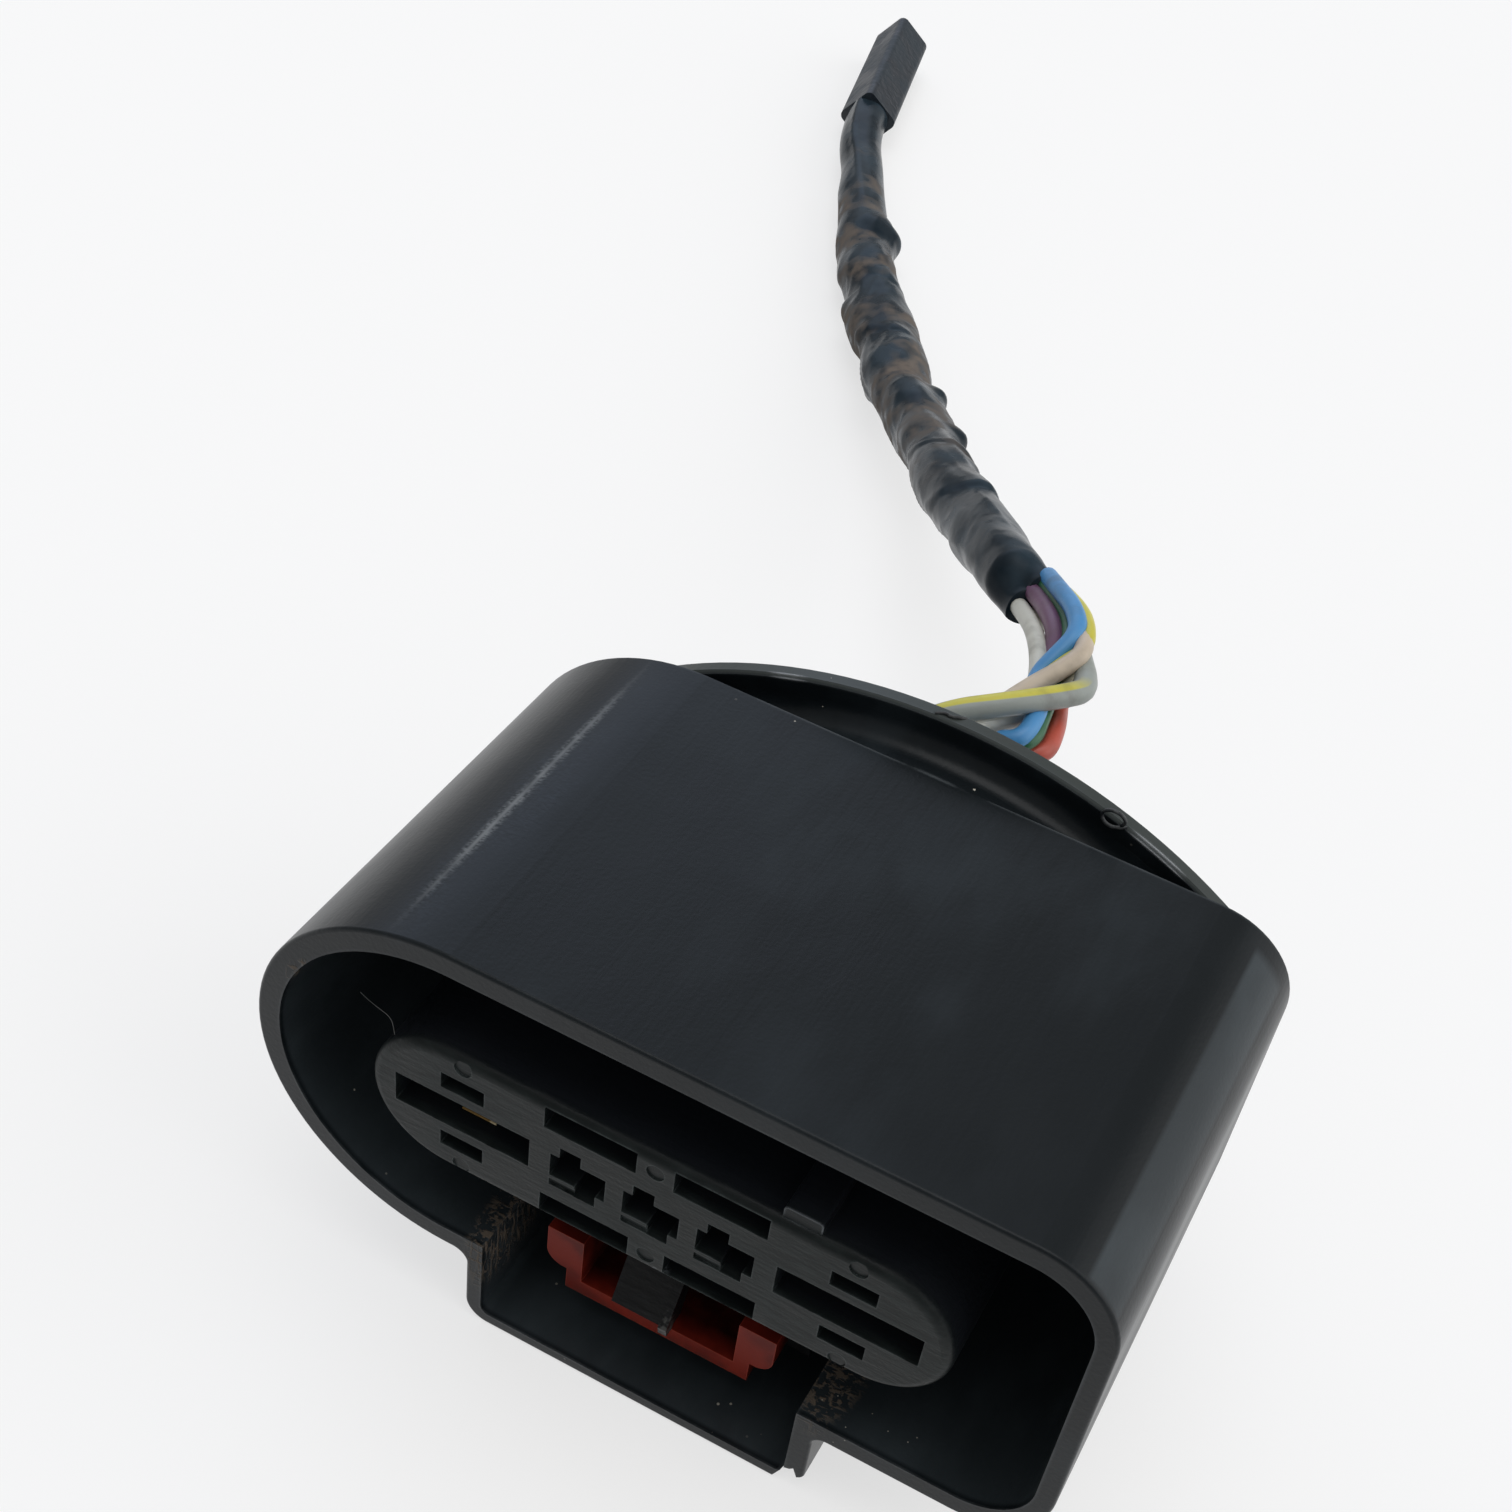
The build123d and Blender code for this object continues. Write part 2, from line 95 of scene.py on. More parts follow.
# Wire routes in millimetres, from the contact to the mouth of the tape.
WIRE_ROUTES = {
    "grey": [
        (-15.2, 31, 0), (-15.2, 40, 0), (-9.3, 45.5, 2.6), (-3.4, 50.9, 7.3), (2, 54.7, 8.5),
        (5.2, 58.6, 8.2), (6.3, 61.2, 7.6), (3.6, 66.1, 6.8), (1.2, 70.2, 6.6), (-2.1, 75.4, 5.1),
    ],
    "white": [
        (-5.8, 31, 0), (-5.8, 40, 0), (-3.2, 45.5, 2.3), (-0.7, 52.3, 6.7), (1.6, 55.1, 5.8),
        (2.6, 57.8, 6), (1.9, 60.9, 6), (0.4, 65, 6.2), (-2.2, 69.8, 5.2), (-4.8, 73.8, 3.2),
    ],
    "tan": [
        (-5.05, 31, -4.75), (-5.05, 40, -4.75), (-2.6, 45.5, -0.4), (-0.1, 54.2, 6.3), (1.8, 59.8, 6.8),
        (3.2, 61.7, 7.7), (4.4, 64.1, 8.5), (3.4, 67.2, 8.1), (0.7, 72.3, 6.1), (-2.7, 76.6, 4.3),
    ],
    "blue": [
        (5.05, 31, 4.75), (5.05, 40, 4.75), (2.7, 45.5, 5), (1.4, 52.5, 5.8), (3.9, 52.7, 6.8),
        (3.8, 56, 7.3), (3, 58.8, 6.5), (1.3, 61.7, 5.9), (2.1, 63.9, 7.3), (3, 66.5, 8.7),
        (1.3, 69.7, 8.5), (-1.2, 72.7, 7.5), (-3.4, 76.2, 5.8),
    ],
    "green": [
        (0, 31, 0), (0, 40, 0), (0.7, 45.5, 2), (1.4, 53, 5.4), (4.8, 52.9, 6.4), (4.1, 57.2, 6.8),
        (3.3, 61.7, 5.7), (2.6, 65.3, 6.9), (1.2, 69.4, 7.1), (-1.1, 72.4, 6.6), (-3.5, 75.7, 5.2),
    ],
    "red": [
        (5.05, 31, -4.75), (5.05, 40, -4.75), (4, 45.5, -1), (2.9, 53.2, 4.6), (5.8, 54.1, 5.1),
        (5.4, 57.1, 5.3), (4.4, 60.7, 4.5), (2.8, 65.1, 4.2), (0.9, 69.4, 6.2), (-1.6, 72.8, 5.6),
        (-3.9, 76.1, 4.3),
    ],
    "purple": [
        (-5.05, 31, 4.75), (-5.05, 40, 4.75), (-2.5, 45.5, 4.3), (0, 54.7, 4.7), (1.8, 58, 4.8),
        (2.7, 61.1, 5.8), (1.7, 64.9, 6.1), (0.7, 67.8, 6.8), (-1.7, 71.3, 6.2), (-4.1, 75, 4.4),
    ],
    "yellow": [
        (5.8, 31, 0), (5.8, 40, 0), (2.8, 45.5, 1.7), (-0.3, 55.3, 4.8), (1.2, 60.1, 4.6),
        (2.1, 61.3, 6.5), (3.1, 63.4, 7.5), (4.3, 65.1, 8.4), (3.5, 67.9, 8.4), (1.2, 72, 7.3),
        (-1.9, 75.5, 5.6),
    ],
    "ivory": [
        (15.2, 31, 0), (15.2, 40, 0), (7.5, 45.5, 0.8), (-0.2, 56.2, 2.4), (1.7, 59.4, 2.6),
        (3.9, 61.6, 4.6), (5, 62.6, 7), (4, 65.5, 6.6), (0.5, 69.7, 5.7), (-3.9, 76.4, 2),
    ],
}
WIRE_COLOURS = {
    "grey": "9AA09B", "white": "D2D1C6", "tan": "CDBDA8", "blue": "4C93CC", "green": "2E6444",
    "red": "C05544", "purple": "6E4A66", "yellow": "CFC64A", "ivory": "BDB9A2",
}
THICK_WIRES = ("grey", "ivory")
THIN_WIRES = ("green", "yellow")

# Stripe along a wire: its colour, the side that it faces, and the stretch over which it turns out of sight.
STRIPES = {"grey": "D0C84C"}
STRIPE_SIDE = (0, 0.15, 1)
STRIPE_END = (58.6, 61.5)

# Steps of a smooth curve between two of its points, and round its section.
CURVE_STEPS = 16
BEVEL_STEPS = 5

# Taped bundle, in millimetres, from its mouth to the sleeve.
TAPE_ROUTE = [
    (-4, 74.5, 4.5), (-11, 84.5, 0.5), (-19.5, 97, -5.5), (-31, 115, -12.5), (-43.5, 134.5, -17.8),
    (-56.5, 155.5, -19.8), (-69, 178.5, -19.8), (-75.4, 189.6, -19.8), (-77.3, 196.5, -19.8),
]

# Along the taped bundle, in millimetres: distance from the mouth, radius, and shift to the right.
TAPE_GIRTH = [
    (0, 2.9, -0.5), (10, 3.1, -0.5), (20, 3.1, 0), (31, 3.2, -0.4), (41, 3.5, 0.1), (47, 3.2, 0.3),
    (53, 3.5, 0.6), (62, 3.7, 0.3), (66, 3.5, 0), (73, 4, 0), (82, 4.1, 0.3), (89, 3.9, -0.2),
    (95, 3.7, -0.6), (105, 3.7, -0.5), (109, 4, -0.2), (114, 3.5, -0.6), (121, 3.3, -0.5), (130, 3, 0),
    (145, 3, 0),
]

# Loose edges of tape that stand out: distance from the mouth, angle from the right side, height.
TAPE_FLAPS = [
    (37, 0.4, 0.5), (50.5, 0.1, 0.8), (63, 0.3, 0.8), (81, 3.0, 0.5), (91, 3.3, 0.6), (109.5, 0.0, 0.6),
]

# Length over which a loose edge rises, and how far past its place it ends, in millimetres. FLAP_FOCUS is the
# power by which it stays on its side of the tape.
FLAP_LENGTH = 1.4
FLAP_END = 0.6
FLAP_FOCUS = 8

# Rings along the tape's mesh and points in each.
TAPE_RINGS = 760
TAPE_RING_POINTS = 72

# Stretches of the tape, in millimetres from its mouth: where the winding starts, where it ends, where the
# smooth end's ridge starts, and how far the mouth's pressed side reaches.
WINDING_START = (2, 20)
WINDING_END = (106, 116)
RIDGE_START = (108, 118)
MOUTH_REACH = 4

# Share of the winding's relief that is left at the mouth.
MOUTH_SHARE = 0.2

# Laps of the tape: share of a turn over which each rises, power by which it falls, mean strength, and drift
# in turns.
LAP_RISE = 0.16
LAP_FALL = 1.3
LAP_STRENGTH = 0.5
LAP_DRIFT = 0.55

# Noises of the wound tape: how fast each changes round it, and its length in millimetres along it.
STRENGTH_NOISE = (0.7, 9)
LUMP_NOISE = (0.9, 7)
CREASE_NOISE = (1.1, 6.5)
GRAIN_NOISE = (2.6, 3.1)

# Slant of the creases and the length over which it wanders, length of the drift, and starts of two noises.
CREASE_SLANT = 1.6
CREASE_WANDER = 21
DRIFT_LENGTH = 13
DRIFT_START = 3.1
GRAIN_START = 7

# Heights in millimetres of the wound tape's laps, lumps, creases and grain, and of its smooth end's.
LAP_HEIGHT = 0.62
LUMP_HEIGHT = 0.55
CREASE_HEIGHT = 0.16
CREASE_MEAN = 0.45
GRAIN_HEIGHT = 0.03
END_LUMP_HEIGHT = 0.10
END_GRAIN_HEIGHT = 0.02
END_RIDGE_HEIGHT = 0.35
MEAN_HEIGHT = 0.08

# Ridge of the smooth end: its side at its middle, its turn in each millimetre and its half width, as angles.
RIDGE_MIDDLE = 120
RIDGE_SIDE = 1.9
RIDGE_TURN = 0.006
RIDGE_WIDTH = 0.22

# Side of the tape's mouth that is pressed down onto the wires, as an angle from its right side, and how far.
MOUTH_CLOSED = 2.36
MOUTH_PRESS = 0.8

# Tongue of the large left contact, which shows in its cavity, and the rolled tip along its front edge,
# painted pale as a glint.
TONGUE_CORNERS = ((-16.2, 1.75, -1.3), (-13.4, 3.1, -1.2))
TIP_ROUTE = [(-16.2, 1.7, -1.2), (-14.8, 1.7, -1.2), (-13.4, 1.7, -1.2)]
TIP_RADIUS = 0.12

# Curl of flash on the flange's front edge, a dark thread caught behind it, and a hair on the socket block, in
# millimetres.
CURL_ROUTE = [
    (16.9, 37.2, 16.6), (16.0, 36.7, 16.4), (15.1, 36.5, 16.9), (14.9, 36.4, 17.8), (15.6, 36.3, 18.4),
    (16.5, 36.4, 18.2), (16.9, 36.6, 17.4), (16.5, 36.9, 16.8),
]
THREAD_ROUTE = [(0.7, 37.3, 19.2), (1.3, 37.7, 19.3), (1.9, 37.5, 19.3), (2.5, 37.8, 19.3), (2.9, 38.2, 19.1)]
HAIR_ROUTE = [
    (-23.9, 0.6, 7.3), (-23.2, 0.2, 7.6), (-22.0, -0.1, 7.6), (-21.1, 0.1, 7.0), (-21.0, 0.3, 5.8),
    (-21.0, 0.4, 4.9),
]

# Each scrap's name, route, radius as a share of the scrap size, and colour.
SCRAPS = (
    ("flash_curl", CURL_ROUTE, 1.2, "24282B"),
    ("thread_dark", THREAD_ROUTE, 1.1, "17191B"),
    ("hair_pale", HAIR_ROUTE, 0.25, "2C2E2B"),
)

# Marks of wear and dirt, of painted highlights and sheen, and of darker patches, in millimetres: the centre
# and the half sizes of each.
MARKS = {
    "rub_and_highlight": ((-21.3, 17, 15.3), (0.75, 19, 1.2)),
    "rub_and_highlight_core": ((-21.3, 17, 15.3), (0.34, 19, 1.2)),
    "rub_and_highlight_halo": ((-20.6, 16, 15.4), (3.0, 21, 2)),
    "chafe_and_glint_right": ((19.8, 37, 15.6), (3.2, 1, 2.6)),
    "chafe_and_glint_left": ((-11.9, 37, 17.4), (2.6, 1, 1.4)),
    "soil_bay_left": ((-13.4, 4, -15.5), (2, 7, 6)),
    "soil_bay_right": ((14.5, 4, -14.6), (2.6, 5, 3)),
    "soil_rim_left": ((-29, 0.8, 5.8), (0.9, 2, 2.6)),
    "soil_crack": ((-28, 0.6, 8.2), (0.9, 1, 0.7)),
    "grit_bay": ((0, 5, -22.5), (14, 7, 2)),
    "grit_flange": ((0, 36, 17), (24, 4, 4)),
    "grit_round_end": ((-24, 3, -8), (8, 5, 7)),
    "grit_flat_end": ((17.5, 3, -14), (8, 5, 2.5)),
    "crack": ((-28.95, -0.1, 8.0), (0.85, 0.6, 0.09)),
    "dark_spot": ((32.5, 32, 10.3), (0.7, 0.7, 0.45)),
    "key_rib_glint": ((10.65, 0.4, 7), (2.6, 0.7, 0.9)),
    "arm_darkening": ((0, 2, -12.5), (6, 9, 5.6)),
    "fray": ((0.8, 0.1, -6.5), (1.7, 1.5, 1.1)),
    "arm_dust": ((2.2, 0, -12.6), (0.7, 1.5, 3)),
    "tray_darkening": ((-0.8, 4, -13.8), (7.2, 3, 4.4)),
}
CRACK_TURN = (0, 0.84, 0)

# Radius of a speck as a share of its cell, and the cosines between which an edge counts as worn.
SPECK_SIZE = 0.14
EDGE_COSINES = (0.995, 0.90)

# Inner faces of the shroud's mouth and of the bay, in millimetres, and the depth that the painted fill light
# reaches in them.
MOUTH_HALF_HEIGHT = 15.0
ROUND_END_CENTRE = -16.5
ROUND_END_REACH = 15.2
FLAT_END = 31.5
BAY_LEFT = -13.8
BAY_RIGHT = 14.0
BAY_FLOOR = -23.1
BAY_ROOF = -15.0
PAINTED_FILL_FRONT = (0.25, 0.6)
PAINTED_FILL_BACK = (33, 32)
FADE = 0.2

# Half length in millimetres of a mask without end.
ENDLESS = 1000

# Stretches in millimetres over which a finish comes in: at the socket block's face and underside, in the
# lock's tray from its front back and from its floor down, and at both ends of the tape's soil.
SOCKET_FACE = (1.1, 0.3)
SOCKET_UNDERSIDE = (-7.2, -8.2)
TRAY_DEPTH = (4.0, 5.4)
TRAY_FLOOR = (-18.4, -19.2)
TAPE_SOIL_START = (96, 118)
TAPE_SOIL_END = (184, 170)

# Front and back faces of the flange's rim, in millimetres, with the fade at each; the band between them is
# painted paler as a highlight.
FLANGE_FRONT = (37.0, 37.15)
FLANGE_BACK = (38.55, 38.4)


def linear(hex_colour):
    """Linear red, green and blue of an sRGB hex colour."""
    parts = [int(hex_colour[i:i + 2], 16) / 255 for i in (0, 2, 4)]
    return tuple(c / 12.92 if c <= 0.04045 else ((c + 0.055) / 1.055) ** 2.4 for c in parts)


def paint(hex_colour):
    """The same colour with full alpha, as a colour socket takes it."""
    return (*linear(hex_colour), 1)


def feed(tree, node, inputs):
    """Sets or links a node's inputs."""
    for socket, value in inputs.items():
        if isinstance(value, bpy.types.NodeSocket):
            tree.links.new(value, node.inputs[socket])
        else:
            node.inputs[socket].default_value = value


def add(tree, kind, inputs=None, **settings):
    """Adds a node with its settings, and sets or links its inputs."""
    node = tree.nodes.new(kind)
    for name, value in settings.items():
        setattr(node, name, value)
    feed(tree, node, inputs or {})
    return node


def new_material(name):
    """Material with a surface shader alone; returns it with its tree and shader."""
    material = bpy.data.materials.new(name)
    material.use_nodes = True
    tree = material.node_tree
    tree.nodes.clear()
    shader = add(tree, "ShaderNodeBsdfPrincipled")
    add(tree, "ShaderNodeOutputMaterial", {"Surface": shader.outputs["BSDF"]})
    return material, tree, shader


def millimetres(tree):
    """Place on the piece, in millimetres."""
    place = add(tree, "ShaderNodeTexCoord").outputs["Object"]
    return add(tree, "ShaderNodeVectorMath", {0: place, "Scale": 1 / MM}, operation="SCALE").outputs["Vector"]


def clouds(tree, place, size, stretch=(1, 1, 1), detail=3.0, low=0.4, high=0.6):
    """Soft noise with features of a size in millimetres, its contrast set by the low and high ends."""
    scale = [share / size for share in stretch]
    scaled = add(tree, "ShaderNodeMapping", {"Vector": place, "Scale": scale}).outputs["Vector"]
    raw = add(tree, "ShaderNodeTexNoise", {"Vector": scaled, "Scale": 1.0, "Detail": detail}).outputs["Fac"]
    ends = {"Value": raw, "From Min": low, "From Max": high}
    return add(tree, "ShaderNodeMapRange", ends, interpolation_type="SMOOTHSTEP").outputs["Result"]


def blot(tree, place, centre, size, turn=(0, 0, 0), edge=0.5):
    """Mask of an ellipsoid of given half sizes in millimetres, which fades from a share of them out."""
    inside = add(
        tree, "ShaderNodeMapping", {"Vector": place, "Location": centre, "Rotation": turn, "Scale": size},
        vector_type="TEXTURE",
    ).outputs["Vector"]
    away = add(tree, "ShaderNodeVectorMath", {0: inside}, operation="LENGTH").outputs["Value"]
    ends = {"Value": away, "From Min": 1.0, "From Max": edge}
    return add(tree, "ShaderNodeMapRange", ends, interpolation_type="SMOOTHSTEP").outputs["Result"]


def mark(tree, place, name, turn=(0, 0, 0), edge=0.5):
    """Mask of a named mark of wear or dirt."""
    centre, size = MARKS[name]
    return blot(tree, place, centre, size, turn, edge)


def along(tree, place, axis, low, high):
    """Value that rises from 0 at one place on an axis to 1 at another, in millimetres."""
    value = add(tree, "ShaderNodeSeparateXYZ", {"Vector": place}).outputs[axis]
    ends = {"Value": value, "From Min": low, "From Max": high}
    return add(tree, "ShaderNodeMapRange", ends).outputs["Result"]


def facing(tree, way, direction, low, high):
    """Mask of the directions near a given one, by the cosine of the angle between them."""
    ends = {0: way, 1: Vector(direction).normalized()}
    cosine = add(tree, "ShaderNodeVectorMath", ends, operation="DOT_PRODUCT").outputs["Value"]
    ends = {"Value": cosine, "From Min": low, "From Max": high}
    return add(tree, "ShaderNodeMapRange", ends, interpolation_type="SMOOTHSTEP").outputs["Result"]


def product(tree, *masks):
    """Masks multiplied together."""
    result = masks[0]
    for mask in masks[1:]:
        result = add(tree, "ShaderNodeMath", {0: result, 1: mask}, operation="MULTIPLY").outputs["Value"]
    return result


def most(tree, *masks):
    """The greatest of several masks."""
    result = masks[0]
    for mask in masks[1:]:
        result = add(tree, "ShaderNodeMath", {0: result, 1: mask}, operation="MAXIMUM").outputs["Value"]
    return result


def tint(tree, base, colour, mask):
    """A base colour with another laid over it by a mask."""
    mixed = add(tree, "ShaderNodeMix", {"Factor": mask, "A": base, "B": colour}, data_type="RGBA")
    return mixed.outputs[2]


def layered(tree, base, *layers):
    """A base colour with others laid over it in turn, each a hex colour and its mask."""
    for colour, mask in layers:
        base = tint(tree, base, paint(colour), mask)
    return base


def between(tree, mask, low, high):
    """Value that runs from low to high as the mask does."""
    ends = {"Value": mask, "To Min": low, "To Max": high}
    return add(tree, "ShaderNodeMapRange", ends).outputs["Result"]


def scratches(tree, place, turn, length, width):
    """Sparse fine scratches of one direction, in millimetres."""
    turned = add(tree, "ShaderNodeMapping", {"Vector": place, "Rotation": turn}).outputs["Vector"]
    return clouds(tree, turned, 1.0, (1 / width, 1 / length, 1 / width), 1.0, 0.70, 0.76)


def raised(tree, value, *steps):
    """Value with masks added to it, each with its weight."""
    for mask, weight in steps:
        inputs = {0: mask, 1: weight, 2: value}
        value = add(tree, "ShaderNodeMath", inputs, operation="MULTIPLY_ADD").outputs["Value"]
    return value


def specks(tree, place, pitch, share):
    """Small round specks, one in a share of the cells of a pitch in millimetres."""
    cells = add(tree, "ShaderNodeTexVoronoi", {"Vector": place, "Scale": 1 / pitch, "Randomness": 1.0})
    inputs = {0: cells.outputs["Distance"], 1: SPECK_SIZE}
    near = add(tree, "ShaderNodeMath", inputs, operation="LESS_THAN").outputs["Value"]
    chance = add(tree, "ShaderNodeSeparateColor", {"Color": cells.outputs["Color"]}).outputs["Red"]
    chosen = add(tree, "ShaderNodeMath", {0: chance, 1: share}, operation="LESS_THAN").outputs["Value"]
    return product(tree, near, chosen)


def worn_edges(tree, radius):
    """Mask of the sharp edges within a radius in millimetres."""
    soft = add(tree, "ShaderNodeBevel", {"Radius": radius * MM}, samples=6).outputs["Normal"]
    flat = add(tree, "ShaderNodeNewGeometry").outputs["Normal"]
    cosine = add(tree, "ShaderNodeVectorMath", {0: soft, 1: flat}, operation="DOT_PRODUCT").outputs["Value"]
    ends = {"Value": cosine, "From Min": EDGE_COSINES[0], "From Max": EDGE_COSINES[1]}
    return add(tree, "ShaderNodeMapRange", ends).outputs["Result"]


def relief(tree, height, depth, normal=None, strength=1.0):
    """Bump of a depth in millimetres from a height mask."""
    inputs = {"Height": height, "Distance": depth * MM, "Strength": strength}
    if normal is not None:
        inputs["Normal"] = normal
    return add(tree, "ShaderNodeBump", inputs).outputs["Normal"]


def inside_shroud(tree, place):
    """Mask of the shroud's inner walls and of the bay under the plug, which are painted paler as fill light.
    """
    flat = product(
        tree,
        along(tree, place, "Z", -MOUTH_HALF_HEIGHT - FADE, -MOUTH_HALF_HEIGHT),
        along(tree, place, "Z", MOUTH_HALF_HEIGHT + FADE, MOUTH_HALF_HEIGHT),
    )
    centre = (ROUND_END_CENTRE, 0, 0)
    round_end = blot(tree, place, centre, (ROUND_END_REACH, ENDLESS, ROUND_END_REACH), edge=0.98)
    straight = along(tree, place, "X", ROUND_END_CENTRE - FADE / 2, ROUND_END_CENTRE + FADE / 2)
    flat_end = along(tree, place, "X", FLAT_END + FADE, FLAT_END)
    mouth = product(tree, flat, most(tree, round_end, straight), flat_end)
    bay = product(
        tree,
        along(tree, place, "X", BAY_LEFT - FADE, BAY_LEFT),
        along(tree, place, "X", BAY_RIGHT + FADE, BAY_RIGHT),
        along(tree, place, "Z", BAY_FLOOR - FADE, BAY_FLOOR),
        along(tree, place, "Z", BAY_ROOF + FADE, BAY_ROOF),
    )
    front = along(tree, place, "Y", *PAINTED_FILL_FRONT)
    back = along(tree, place, "Y", *PAINTED_FILL_BACK)
    return product(tree, most(tree, mouth, bay), front, back)


def shroud_nylon(colour, worn):
    """Black glass-filled nylon, injection moulded: satin, with draw marks and handling haze."""
    material, tree, shader = new_material("nylon_moulded_black")
    place = millimetres(tree)
    haze = clouds(tree, place, 22, detail=3.0, low=0.34, high=0.70)
    smear = clouds(tree, place, 6, (1, 0.5, 1), 4.0, 0.40, 0.72)
    draw = clouds(tree, place, 0.45, (1, 0.015, 1), 2.0, 0.35, 0.65)
    fine = most(
        tree,
        scratches(tree, place, (0, 0, 0.35), 8, 0.06),
        scratches(tree, place, (0, 0, -1.2), 3, 0.05),
    )
    ticks = clouds(tree, place, 0.2, (0.35, 1, 1), 5.0, 0.30, 0.74)
    worn_through = clouds(tree, place, 4, (0.2, 1, 0.2), 3.0, 0.25, 0.60)
    # Painted highlight with rub marks: a pale streak along the round end stands in for a window's reflection,
    # with rubbed scratch lines in it.
    rub_and_highlight = product(
        tree,
        most(
            tree,
            product(tree, mark(tree, place, "rub_and_highlight", edge=0.2), ticks),
            mark(tree, place, "rub_and_highlight_core", edge=0),
        ),
        between(tree, worn_through, 0.3, 1),
    )
    # Painted sheen: a bluish haze round the painted highlight streak.
    sheen_halo = product(tree, mark(tree, place, "rub_and_highlight_halo"), ticks, smear)
    # Chafed edge and painted highlight: two near-white lines on the flange's front edge are chips and also
    # stand in for its specular glints.
    chafe_and_glint = product(
        tree, worn_edges(tree, 0.35),
        most(tree, mark(tree, place, "chafe_and_glint_right"), mark(tree, place, "chafe_and_glint_left")),
    )
    edges = product(tree, worn_edges(tree, 0.4), clouds(tree, place, 3.5, detail=4.0, low=0.25, high=0.60))
    fibres = most(
        tree,
        clouds(tree, place, 0.4, (1, 1, 0.16), 5.0, 0.50, 0.62),
        clouds(tree, place, 0.35, (0.25, 1, 1), 5.0, 0.54, 0.62),
    )
    soiled = [mark(tree, place, name) for name in MARKS if name.startswith("soil_")]
    soil = product(tree, most(tree, *soiled), fibres)
    gritty = [mark(tree, place, name) for name in ("grit_bay", "grit_flange", "grit_round_end")]
    grit = most(
        tree,
        product(tree, specks(tree, place, 0.8, 0.06), most(tree, *gritty)),
        product(tree, specks(tree, place, 0.4, 0.12), mark(tree, place, "grit_flat_end")),
    )
    # Painted fill light: the inner walls of the shroud and the bay are painted paler to lift their shade.
    tone_lift = product(tree, inside_shroud(tree, place), between(tree, smear, 0.6, 1))
    # Painted highlight: the flange rim's top face is painted paler, as lit from above.
    flange_rim_highlight = product(tree, along(tree, place, "Y", *FLANGE_FRONT), along(tree, place, "Y", *FLANGE_BACK))
    # Black crack on the rim, and a black spot painted on the flat end.
    dark = most(tree, mark(tree, place, "crack", CRACK_TURN), mark(tree, place, "dark_spot"))
    base = layered(
        tree, (*colour, 1),
        ("1F2529", product(tree, haze, smear)),
        ("3A4145", tone_lift),
        ("464B49", between(tree, flange_rim_highlight, 0, 0.85)),
    )
    base = tint(tree, base, (*worn, 1), product(tree, edges, between(tree, haze, 0.3, 0.8)))
    base = layered(
        tree, base,
        ("33383D", product(tree, fine, between(tree, haze, 0, 0.2))),
        ("2E353E", between(tree, sheen_halo, 0, 0.6)),
        ("8C9092", between(tree, rub_and_highlight, 0, 0.8)),
        ("C4C8CC", chafe_and_glint),
        ("75685A", between(tree, soil, 0, 0.75)),
        ("B9B4A8", grit),
        ("050506", dark),
    )
    scratched = product(tree, fine, between(tree, haze, 0.1, 0.3))
    rough = raised(tree, between(tree, smear, 0.31, 0.37), (scratched, 0.4), (rub_and_highlight, 0.15), (soil, 0.4))
    grain = clouds(tree, place, 0.35, detail=2.0, low=0.3, high=0.7)
    normal = relief(tree, grain, 0.004)
    for height, depth in ((draw, 0.003), (haze, 0.05), (soil, 0.06)):
        normal = relief(tree, height, depth, normal)
    feed(tree, shader, {
        "Base Color": base, "Roughness": rough, "Normal": normal, "IOR": 1.53, "Specular IOR Level": 0.19,
    })
    return material


def socket_polyester(colour):
    """Dark grey glass-filled polyester, moulded: duller than the shroud, with flow marks along its face."""
    material, tree, shader = new_material("polyester_moulded_dark_grey")
    place = millimetres(tree)
    haze = clouds(tree, place, 6, detail=4.0)
    flow = clouds(tree, place, 0.5, (0.18, 1, 1), 3.0, 0.35, 0.68)
    edges = product(tree, worn_edges(tree, 0.22), clouds(tree, place, 1.5, detail=3.0, low=0.32, high=0.6))
    face = along(tree, place, "Y", *SOCKET_FACE)
    # Painted highlight: the key rib's edges are painted pale as glints; the frayed torn edge below shares
    # this colour.
    key_glint = product(tree, mark(tree, place, "key_rib_glint"), worn_edges(tree, 0.3))
    patches = clouds(tree, place, 1.6, detail=4.0, low=0.2, high=0.5)
    # Darker under the socket block's lower edge and on the latch arm.
    darkening = product(
        tree,
        most(tree, along(tree, place, "Z", *SOCKET_UNDERSIDE), mark(tree, place, "arm_darkening")),
        between(tree, patches, 0.75, 1),
    )
    fray = product(tree, mark(tree, place, "fray"), clouds(tree, place, 0.35, low=0.48, high=0.58))
    dust = product(tree, mark(tree, place, "arm_dust"), clouds(tree, place, 0.5, detail=5.0))
    base = tint(tree, paint("1E2126"), (*colour, 1), face)
    base = layered(
        tree, base,
        ("262C2C", product(tree, face, product(tree, haze, flow))),
        ("454C4C", product(tree, edges, between(tree, face, 0.3, 1))),
        ("08090A", darkening),
        ("848A90", most(tree, product(tree, key_glint, between(tree, haze, 0.4, 1)), fray)),
        ("4A4A48", dust),
    )
    rough = between(tree, haze, 0.36, 0.46)
    grain = clouds(tree, place, 0.3, detail=2.0, low=0.3, high=0.7)
    normal = relief(tree, flow, 0.012, relief(tree, grain, 0.006))
    feed(tree, shader, {
        "Base Color": base, "Roughness": rough, "Normal": normal, "IOR": 1.55, "Specular IOR Level": 0.15,
    })
    return material


